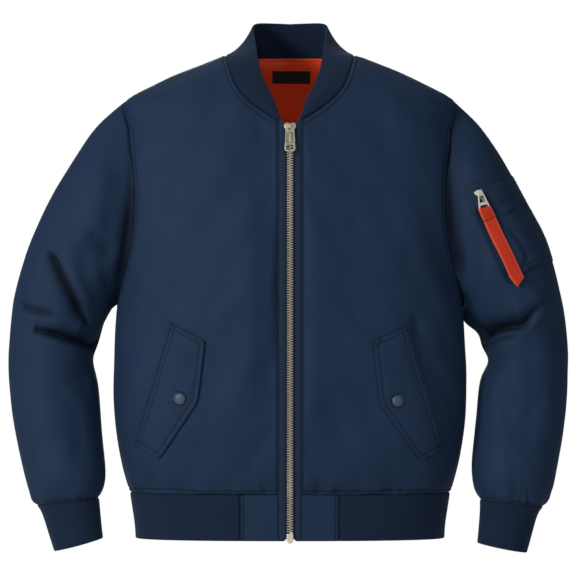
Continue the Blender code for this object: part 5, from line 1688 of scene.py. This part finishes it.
def buildFlap(side, way, tree, finishes):
    size = flapSize
    freeEdge, sewnEdge, snapPlace = flapOutline(side)
    share = easedRun(size["columns"])[:, None, None]
    flat = (1 - share) * freeEdge + share * sewnEdge
    points, facing = seenAt(tree, flat.reshape(-1, 2) * (way, 1))
    base = points.reshape(flat.shape[:2] + (3,))
    # the front's ripples are smoothed out of the flap
    outward = evened(facing.reshape(base.shape), size["evening"])
    alongMiddle, acrossMiddle = base[len(base) // 2].mean(axis=0), base[:, len(base[0]) // 2].mean(axis=0)
    edges = (
        (base[0], alongMiddle, size["freeStitches"]),
        (base[-1], alongMiddle, size["sewnStitches"]),
        (base[:, 0], acrossMiddle, size["freeStitches"]),
        (base[:, -1], acrossMiddle, size["freeStitches"]),
    )
    nearest, groove = np.full(base.shape[:2], 99.0), 0
    for line, _, lines in edges:
        gap, _ = nearTo(base, resampled(line, 4))
        nearest = np.minimum(nearest, gap)
        groove = groove + sum(hill(gap, size["stitchWidth"], away) for away in lines)
    rounding, part = rounded(nearest, size["edgeRadius"])
    rounding *= size["edgeRadius"]
    snapAt, snapFacing = seenAt(tree, [snapPlace * (way, 1)])
    fromSnap = np.linalg.norm(base - snapAt[0], axis=-1)
    sink = size["stitchDip"] * groove + size["seat"][0] * hill(fromSnap, size["seat"][1])
    puff = 1.0 * smooth((nearest - 5) / 16) + 0.35 * smooth(nearest / 5) * rippled(base, 13, 6 + way)
    puff += 0.7 * smooth((nearest - 5) / 9) * rippled(base, 34, 9 + way)
    inner = base + outward * (size["rise"] + rounding)[..., None]
    outer = base + outward * (size["rise"] + size["wall"] + puff - sink - rounding)[..., None]
    dark, width, reach = size["seatShadow"]
    # painted shade in the stitch grooves and at the rounded edges, and a painted shadow ring around the snap
    creaseShade = size["stitchDark"] * groove + 0.7 * part**2 + dark * hill(fromSnap, width, reach)
    if way < 0:
        outer, inner, creaseShade = outer[::-1], inner[::-1], creaseShade[::-1]
    thing = clothObject("flap" + titled(side), outer, inner, finishes["unlined"], creaseShade=creaseShade)
    declared(thing, "shell_cloth", f"pocket_flap_{side}")
    skin = treeOf(outer)
    runs = []
    for line, middle, lines in edges:
        line = resampled(line, 2.5)
        facing = np.broadcast_to(snapFacing[0], line.shape)
        across = inwards(line, facing, middle)
        for away in lines:
            runs += sewn(skin, line + across * away, facing, size["stitchEnds"], size["stitchEnds"])
    stitchObject("stitchesFlap" + titled(side), runs, finishes["navyThread"], "shell_cloth")
    seatAt, _ = dropped(skin, snapAt, snapFacing)
    frame = frameAt(seatAt[0], snapFacing[0], (1, 0, 0))
    snap = fused("snap" + titled(side), [turnedMesh(size["snap"], 48)], finishes["snap"], frame)
    declared(snap, "snap_enamel", f"snap_{side}")


neckInside = {
    "reach": 0.26, "down": 0.795,  # shares of the back's width and height
    "gap": 0.25, "wall": 1.0, "edgeRadius": 0.5,
    "topStitch": 4.5, "topGroove": (0.35, 0.9), "edgeGroove": (0.3, 0.8, 3),
}
label = {
    "width": 54, "height": 17, "top": -14.4, "shift": 2, "rise": 0.35, "wall": 0.8,
    "columns": 44, "rows": 20, "edgeRadius": 0.42, "rounding": 0.38, "groove": (0.25, 0.6, 1.6),
    "stitch": {**stitch, "pitch": 2.2, "length": 1.5, "width": 0.2, "height": 0.16},
}


def buildNeckLining(skins, marks, normals, finishes):
    # the stretch of lining over the back's upper middle; returns its face
    size = neckInside
    across, up = marks["back"]
    columns = np.where(abs(across - 0.5) <= size["reach"])[0]
    rows = np.where(up >= size["down"])[0]
    part = slice(columns[0], columns[-1] + 1), slice(rows[0], rows[-1] + 1)
    face, way = skins["back"][1][part], normals["back"][part]
    line = np.concatenate([face[0, ::-1], face[:, 0], face[-1]])
    gap, _ = nearTo(face, resampled(line, 5))
    rounding = size["edgeRadius"] * rounded(gap, size["edgeRadius"])[0]
    fromTop = np.linalg.norm(face - face[:, -1:], axis=-1)
    topDip, topWidth = size["topGroove"]
    dip, width, away = size["edgeGroove"]
    sink = topDip * hill(fromTop, topWidth, size["topStitch"]) + dip * hill(gap, width, away)
    puff = 0.8 * smooth((fromTop - 3) / 14) * smooth(gap / 10) * rippled(face, 30, 41, (1, 1, 0.5))
    puff += 0.45 * smooth(fromTop / 3) * np.exp(-fromTop / 16) * rippled(face * (1, 1, 0.25), 8, 43)
    outer = face - way * (size["gap"] + rounding)[..., None]
    inner = face - way * (size["gap"] + size["wall"] + puff - sink - rounding)[..., None]
    lining = clothObject("neckLining", outer, inner, finishes["lining"])
    declared(lining, "lining_cloth", "lining_back")
    skin = treeOf(inner)
    edge, below = face[8:-8, -1], face[8:-8, -12]
    runs = sewn(skin, edge + unit(below - edge) * size["topStitch"], -way[8:-8, -1])
    stitchObject("stitchesNeckLining", runs, finishes["orangeThread"], "lining_cloth")
    return skin


def buildLabel(skin, finishes):
    size = label
    across = size["shift"] + size["width"] * (0.5 - easedRun(size["columns"]))
    heights = size["top"] - size["height"] * (1 - easedRun(size["rows"]))
    back = Vector((0, 1, 0))
    points = np.array([[skin.ray_cast(Vector((x, -20, z)), back)[0][:] for z in heights] for x in across])
    inward = -normalsOf(points)
    edges = np.concatenate([points[:, 0], points[-1], points[::-1, -1], points[::-1, 0]])
    gap, _ = nearTo(points, resampled(edges, 2))
    rounding = size["rounding"] * rounded(gap, size["edgeRadius"])[0]
    bow = 0.5 * smooth(gap / 5) * rippled(points, 16, 12)
    dip, width, away = size["groove"]
    height = size["rise"] + size["wall"] + bow - rounding - dip * hill(gap, width, away)
    rear = points + inward * (size["rise"] + rounding)[..., None]
    face = points + inward * height[..., None]
    thing = clothObject("neckLabel", rear, face, finishes["label"])
    declared(thing, "label_cloth", "neck_label")
    tree = treeOf(face)
    runs = []
    for row in (points[2:-2, 6], points[2:-2, -7]):
        runs += sewn(tree, row, np.broadcast_to(inward[22, 10], row.shape))
    stitchObject("stitchesNeckLabel", runs, finishes["blackThread"], "label_cloth", size["stitch"])


sleevePocket = {
    # places are (turn, ring) on the left sleeve, and each edge's turn or ring by its share of the patch
    "back": -24,
    "top": ((0, 2.45), (0.53, 1.96), (0.85, 1.22), (0.97, 0.68), (1, 0.52)),
    "front": ((0, 76), (0.03, 82), (0.07, 87.5), (0.25, 91), (1, 94)),
    "foot": ((0, 4.4), (0.4, 4.34), (0.75, 4.12), (1, 3.95)),
    "columns": 118, "rows": 122, "evening": 8,
    "rise": 0.3, "wall": 1.5, "edgeRadius": 0.8, "rounding": 0.78,
    "grooves": ((0.5, 1.9), (0.6, 7.5)), "grooveWidth": 0.8,
    "layers": (
        ((62, 2.02), (50, 2.22), (37, 2.44), (10, 2.72), (-24, 2.8)),
        ((60, 2.38), (40, 2.66), (17, 2.92), (-4, 3.1), (-24, 3.14)),
    ),
    "layerRise": 0.8, "layerFront": 61, "layerStitch": 3.4, "layerInside": (40, 3.6),
    "lip": ((73, 1), (72, 1.54), (71, 2.22), (68, 2.8), (65, 3.24), (64, 3.46), (65, 3.6), (69, 3.74),
            (76, 3.84)),
    "lipRise": 1.2, "lipStitch": 3.0, "lipInside": (80, 2.6),
    "beside": ((258.5, -214), (281.5, -264), (305.5, -318)),  # a painted shadow line beside the ribbon, seen from the front
    "turned": (2, 40),  # it is flatter over these turns, where it goes round the sleeve's outline
    "stitches": (1.9, 7.5),
}
sleeveZip = {
    "ends": ((75, 0.86), (79.5, 3.5)), "rows": 120,
    "tapeHalf": 5.0, "tapeRise": 2.0, "tapeWall": 0.5,
    "tape": ((1, -0.3), (0.98, 0), (0.9, 0.05), (0.5, 0), (0, 0.15), (-0.5, 0), (-0.9, 0.05), (-0.98, 0),
             (-1, -0.3)),
    "tooth": ((-0.5, -0.33), (0.3, -0.4), (2.1, -0.62), (2.1, 0.62), (0.3, 0.4), (-0.5, 0.33)),
    "toothLevels": ((0, 0), (0, 0.75), (0.18, 1.0)),
    "teethRise": 2.2, "pitch": 0.95, "teethFrom": 4,
    # the slider's half outline, in shares of its width and length
    "sliderHalf": ((0, -0.5), (0.27, -0.5), (0.36, -0.25), (0.5, 0.25), (0.3, 0.5), (0, 0.42)),
    "slider": (8, 10, 1.6), "sliderBelow": 5, "sliderRise": 4.2, "sliderRear": (0.9, -2.6),
    "knob": ((0, 2.6), (1.3, 2.45), (2.0, 1.9), (2.2, 1.2), (1.9, 0.5), (1.7, -0.6)),
}
puller = {
    "top": (262, -188.5), "foot": (268.8, -213.4), "half": (3.6, 8.8), "wire": 2.7, "thickness": 2.2,
    "openings": ((0.27, 0.59), (0.76, 0.94)), "narrowest": 0.35, "neck": 1.6, "rise": 6.4,
}
ribbon = {
    "tip": (317.5, -317), "width": 18, "loopWidth": 17.6, "fold": 14, "step": 2, "rest": 4.4, "wall": 1,
    "gap": 0.3, "longer": 2.0, "cuts": (8.7, 17.0), "tipAt": -0.55,
    "lines": (10.5, 15.2), "lineWidth": 0.8, "lineDip": 0.7,
    # the profile across it: the place and how far its faces stand proud
    "profile": ((1, -0.15), (0.97, 0.12), (0.88, 0.06), (0.5, 0), (0, 0), (-0.5, 0), (-0.88, 0.06),
                (-0.97, 0.12), (-1, -0.15)),
    "stitch": {**stitch, "pitch": 2.0, "length": 1.6, "width": 0.4, "height": 0.3},
}


def sleeveReader(outer, marks):
    # a reader of the left sleeve's face at any turns and ring numbers
    turns, at = marks["sleeve_left"]
    wide = np.concatenate([outer, outer[:1]])
    step = turns[1] - turns[0]

    def read(turn, ring):
        return between(wide, np.asarray(turn, float) % 360 / step, np.interp(ring, at, np.arange(len(at))))

    return read


def linesOn(read, places, steps=24):
    # a smooth line on the sleeve through (turn, ring) places
    at = spline(np.linspace(0, 1, len(places)), places)(np.linspace(0, 1, steps))
    return read(at[:, 0], at[:, 1])


def stepped(gap, near, width):
    # a smooth step of one up from the far side of a line to its near side
    return 0.5 + 0.5 * np.tanh(gap * np.where(near, 1, -1) / width)


def pocketRelief(read, base, outward, turns, at):
    # the pen slots' layers and the zip's lip: how they rise and sink, the painted shade in their slits and
    # grooves, and their lines
    size = sleevePocket
    rise, sink, creaseShade = (np.zeros(base.shape[:2]) for _ in range(3))
    behind = 1 / (1 + np.exp((turns - size["layerFront"]) / 0.9))
    lines = []
    for places in size["layers"]:
        # each pen slot is the turned top edge of a layer that lies on the one before
        lines.append(linesOn(read, places))
        gap, _ = nearTo(base, lines[-1])
        over = stepped(gap, np.interp(turns, *np.array(sorted(places)).T) < at, 0.45) * behind
        slit = hill(gap, 1.2) * (1 - over)
        groove = over * hill(gap, size["grooveWidth"], size["layerStitch"])
        rise += size["layerRise"] * over
        sink += 0.7 * slit + 0.4 * groove
        creaseShade += (1.2 * slit + 0.5 * groove) * behind
    lines.append(linesOn(read, size["lip"], 60))
    gap, _, side = nearTo(base, lines[-1], outward)
    (_, top), (_, foot) = size["lip"][0], size["lip"][-1]
    near = np.where((at > top) & (at < foot), side, -1) * np.sign(side[-1, size["rows"] // 2]) > 0
    rise += size["lipRise"] * stepped(gap, near, 0.5) * smooth(at - top + 0.3)
    slit = hill(gap, 1.3) * ~near
    groove = hill(gap, size["grooveWidth"], size["lipStitch"]) * near
    return rise, sink + 0.7 * slit + 0.35 * groove, creaseShade + 0.9 * slit + 0.4 * groove, lines


def buildPatch(read, finishes):
    size = sleevePocket
    share, down = easedRun(size["columns"])[:, None], easedRun(size["rows"])[None, :]
    front = spline(*zip(*size["front"]))(down)
    top, foot = (spline(*zip(*size[name]))(share) for name in ("top", "foot"))
    turns, at = size["back"] + (front - size["back"]) * share, top + (foot - top) * down
    base = read(turns, at)
    outward = evened(normalsOf(base), size["evening"])
    edges = [base[0], base[:, 0], base[:, -1], base[-1]]
    facings = [outward[0], outward[:, 0], outward[:, -1], outward[-1]]
    nearest = np.min([nearTo(base, resampled(line, 4))[0] for line in edges], axis=0)
    rounding, part = rounded(nearest, size["edgeRadius"])
    grooves = sum(dip * hill(nearest, size["grooveWidth"], away) for dip, away in size["grooves"])
    rise, sink, creaseShade, lines = pocketRelief(read, base, outward, turns, at)
    flat = base.reshape(-1, 3)
    beside = [flat[((flat[:, 0] - x) ** 2 + (flat[:, 2] - z) ** 2).argmin()] for x, z in size["beside"]]
    gap, _ = nearTo(base, spline((0, 0.5, 1), beside)(np.linspace(0, 1, 16)))
    # painted shade at the rounded edges and in the stitch grooves, and a painted shadow beside the ribbon
    creaseShade += 0.75 * part**2 + 0.7 * grooves + hill(gap, 2.8)
    puff = smooth((nearest - 5) / 14) * (0.5 + rippled(base, 34, 71)) * smooth((76 - turns) / 12)
    puff += 0.4 * smooth(nearest / 5) * rippled(base, 12, 73)
    start, over = size["turned"]
    full = smooth((turns - start) / over)
    rounding *= size["rounding"] * (0.2 + 0.8 * full)
    layers = (puff + (rise - sink - grooves) * smooth((nearest - 1) / 3)) * (0.12 + 0.88 * full)
    height = size["rise"] + size["wall"] * (0.42 + 0.58 * full) + layers - rounding
    inner, outer = base + outward * (size["rise"] + rounding)[..., None], base + outward * height[..., None]
    thing = clothObject("sleevePatch", outer, inner, finishes["unlined"], creaseShade=creaseShade)
    declared(thing, "shell_cloth", "sleeve_pocket")
    skin = treeOf(outer)
    middle = base.mean(axis=(0, 1))
    runs = []
    for away, picks in zip(size["stitches"], ((0, 1, 2, 3), (1, 2))):
        for pick in picks:
            across = inwards(edges[pick], facings[pick], middle)
            runs += sewn(skin, edges[pick] + across * away, facings[pick], 3, 3)
    for line, name in zip(lines, ("layer", "layer", "lip")):
        inside, away = read(*np.array(size[name + "Inside"])), size[name + "Stitch"]
        facing = np.array([skin.find_nearest(Vector(point))[1] for point in line])
        across = unit(np.cross(facing, np.gradient(line, axis=0)))
        across *= np.sign(((inside - line) * across).sum(-1).mean())
        runs += sewn(skin, line + across * away, facing)
    stitchObject("stitchesSleevePatch", runs, finishes["navyThread"], "shell_cloth")


def buildSleeveZip(read, finishes):
    size = sleeveZip
    turn, ring = (np.linspace(top, foot, size["rows"]) for top, foot in zip(*size["ends"]))
    line = read(turn, ring)
    beside = read(turn + 2, ring) - read(turn - 2, ring)
    below = read(turn, ring + 0.05) - read(turn, ring - 0.05)
    outward = unit(np.cross(beside, below))
    for _ in range(20):
        outward[1:-1] = unit(outward[2:] + outward[:-2])
        line[1:-1] = (line[2:] + line[:-2] + 2 * line[1:-1]) / 4
    along = unit(np.gradient(line, axis=0))
    across = unit(np.cross(outward, along))
    place, lift = np.array(size["tape"]).T[..., None, None]
    inner = line + size["tapeHalf"] * place * across + size["tapeRise"] * outward
    outer = inner + (size["tapeWall"] + lift) * outward
    thing = clothObject("sleeveTape", outer, inner, finishes["tape"])
    declared(thing, "zip_tape", "sleeve_zip_tape")
    run = runOf(line)
    at = np.arange(size["teethFrom"], run[-1] - size["teethFrom"], size["pitch"])
    out, way = (unit(pointsAt(at, run, part)) for part in (outward, along))
    side = unit(np.cross(out, way)) * np.where(np.arange(len(at)) % 2, 1, -1)[:, None]
    frames = pointsAt(at, run, line) + out * size["teethRise"], side, np.cross(out, side), out
    shape = loftedMesh(size["tooth"], size["toothLevels"])
    teeth = finished("sleeveTeeth", repeated("sleeveTeeth", shape, frames), finishes["metal"])
    declared(teeth, "zip_metal", "sleeve_zip_teeth")
    width, length, height = size["slider"]
    start = int(np.searchsorted(run, size["sliderBelow"]))
    outline = roundedOutline(bothHalves([(width * x, length * y) for x, y in size["sliderHalf"]]), 1.4)
    frame = frameAt(line[start] + outward[start] * size["sliderRise"], outward[start], across[start])
    meshes = [plate([outline], height, 0, 0.5), plate([outline], *size["sliderRear"], 0.3)]
    meshes.append(turnedMesh(size["knob"], 24))
    declared(fused("sleeveSlider", meshes, finishes["metal"], frame), "zip_metal", "sleeve_slider")


def buildPuller(tree, finishes):
    # returns the middle of its foot and its directions, for the ribbon
    size = puller
    (top, foot), facing = seenAt(tree, (size["top"], size["foot"]))
    down = unit(foot - top)
    outward = unit(facing[1] - (facing[1] @ down) * down)
    across = np.cross(outward, down)
    reach = float(np.linalg.norm(foot - top))
    middle = foot + size["rise"] * outward
    wire = size["wire"]
    length = reach + wire / 2
    slim, wide = size["half"]
    holes = []
    for start, end in size["openings"]:
        left, right = (slim + (wide - slim) * share - wire for share in (start, end))
        holes.append(window(-start * length, -end * length, max(left, size["narrowest"]), right, 0.5))
    outline = roundedOutline(bothHalves(((wide, -length), (slim, -1), (slim * 0.8, size["neck"]))), 1.6)
    mesh = plate([outline] + holes, size["thickness"], 0, 0.7)
    frame = frameAt(middle - reach * down, outward, across)
    declared(fused("sleevePuller", [mesh], finishes["metal"], frame), "zip_metal", "sleeve_puller")
    return middle, outward, across


def buildRibbon(tree, bar, finishes):
    size = ribbon
    middle, barOutward, barAcross = bar
    share = np.linspace(0, 1, 9)
    places = np.array(puller["foot"]) + (np.array(size["tip"]) - puller["foot"]) * share[:, None]
    points, facing = seenAt(tree, places)
    points[0], facing[0] = middle - puller["rise"] * barOutward, barOutward
    line, facingLine = spline(share, points), spline(share, facing)
    length = float(np.linalg.norm(line(1.0) - line(0.0)))
    rest, fold, step = size["rest"], size["fold"], size["step"]
    loop = puller["rise"] - rest
    upper = rest + size["wall"] + size["gap"]
    route = [(fold, rest), (fold * 0.75, rest), (fold / 2, rest), (fold / 4, rest)]
    for turn in np.radians(np.linspace(-90, -270, 13)):
        route.append((loop * math.cos(turn), puller["rise"] + loop * math.sin(turn)))
    route += [(fold * 0.35, upper + 1.5), (fold * 0.6, upper + 0.3), (fold, upper + 0.3),
              (fold + step * 0.5, rest + 0.7), (fold + step, rest)]
    lower = np.linspace(fold + 2 * step, length + size["longer"], 36)
    route += [(below, rest) for below in lower]
    below, rise = np.array(route).T
    waves = np.array([noise.noise(Vector((place / 30, 3, 1))) for place in below])
    rise = rise + np.where(below > fold + step, 1.2 * smooth((below - fold - step) / 20) * waves, 0)
    along = unit(line(1.0) - line(0.0))

    def placed(below, rise):
        share = np.clip(below / length, 0, 1)
        beyond = below - share * length
        return line(share) + beyond[:, None] * along + rise[:, None] * unit(facingLine(share))

    run = runOf(placed(below, rise))
    at = np.unique(np.concatenate([np.arange(0, run[-1], 1.1), [run[-1]]]))
    below, rise = spline(run, np.column_stack([below, rise]))(at).T
    points = placed(below, rise)
    outward = unit(facingLine(np.clip(below / length, 0, 1)))
    straight = smooth(below / fold * 1.6)[:, None]
    across = unit(straight * unit(np.cross(outward, along)) + (1 - straight) * barAcross)
    half = (size["loopWidth"] + (size["width"] - size["loopWidth"]) * smooth(below / fold)) / 2
    # the end is cut to a point that lies nearer to one edge
    free = np.arange(len(at)) > len(at) // 2
    longCut, shortCut = (free * np.clip((below - (length + size["longer"] - cut)) / cut, 0, 1)
                         for cut in size["cuts"][::-1])
    share, crown = np.array(size["profile"]).T[..., None]
    low = -1 + (size["tipAt"] + 1) * longCut
    high = 1 - (1 - size["tipAt"]) * shortCut
    spread = low + (high - low) * (share + 1) / 2
    thick = unit(np.cross(np.gradient(points, axis=0), across)) * size["wall"] / 2
    middle = points + (spread * half)[..., None] * across
    proud = thick * (1 + crown[..., None])
    lines = sum(hill(below, size["lineWidth"], place) for place in size["lines"])
    # the two lines across the fold get painted shade, and the same values set how far they sink
    creaseShade = np.repeat((0.5 * lines * (np.arange(len(at)) > 20))[None], len(middle), axis=0)
    outer, inner = middle + proud - size["lineDip"] * creaseShade[..., None] * unit(thick), middle - proud
    thing = clothObject("sleeveRibbon", outer, inner, finishes["ribbon"], creaseShade=creaseShade)
    declared(thing, "lining_cloth", "sleeve_ribbon")
    skin = treeOf(outer)
    row = int(np.argmin(abs(below - fold + 3) + 99 * ~free * (at < at[-1] * 0.2)))
    line = outer[1:-1, row]
    runs = sewn(skin, line, np.broadcast_to(unit(thick[row]), line.shape))
    stitchObject("stitchesRibbon", runs, finishes["orangeThread"], "lining_cloth", size["stitch"])


makeStage()
shell, lining, knit = shellCloth(), innerCloth(), ribKnit()
finishes = {
    "lined": (shell, lining),
    "unlined": (shell,),
    "knit": (knit,),
    "navyThread": thread("navyThread", (0.012, 0.022, 0.05)),
    "orangeThread": thread("orangeThread", (0.2, 0.016, 0.006)),
    "blackThread": thread("blackThread", (0.02, 0.02, 0.022)),
    "snap": snapEnamel(),
    "lining": (lining,),
    "label": (labelCloth(),),
    "ribbon": (ribbonCloth(),),
    "tape": (tapeCloth(),),
    "metal": brass("paleNickel", (0.47, 0.44, 0.38), 0.2, 0.45),
    "teeth": brass("champagneBrass", (0.64, 0.59, 0.49), 0.2),
    "slider": brass("sliderBrass", (0.4, 0.37, 0.3), 0.3),
    # darker than the slider's brass: painted shade for the tab's recessed floor
    "shadedTabFloor": brass("shadedTabFloorBrass", (0.22, 0.2, 0.14), 0.3),
}
skins, marks, normals = buildShell(finishes)
buildLabel(buildNeckLining(skins, marks, normals, finishes), finishes)
print("neck: lining and label")
buildTapes(finishes["tape"])
buildTeeth(finishes["teeth"])
buildTab(finishes, buildSlider(finishes["slider"]))
buildBox(finishes["teeth"])
print("front zip: tapes, teeth, slider, pull tab and box")
for side, way in (("left", 1), ("right", -1)):
    buildFlap(side, way, treeOf(skins["front_" + side][0]), finishes)
print("pockets: flaps and snaps")
onSleeve = sleeveReader(skins["sleeve_left"][0], marks)
buildPatch(onSleeve, finishes)
buildSleeveZip(onSleeve, finishes)
sleeveSkin = treeOf(skins["sleeve_left"][0], True)
buildRibbon(sleeveSkin, buildPuller(sleeveSkin, finishes), finishes)
print("sleeve pocket: patch, zip, puller and ribbon")
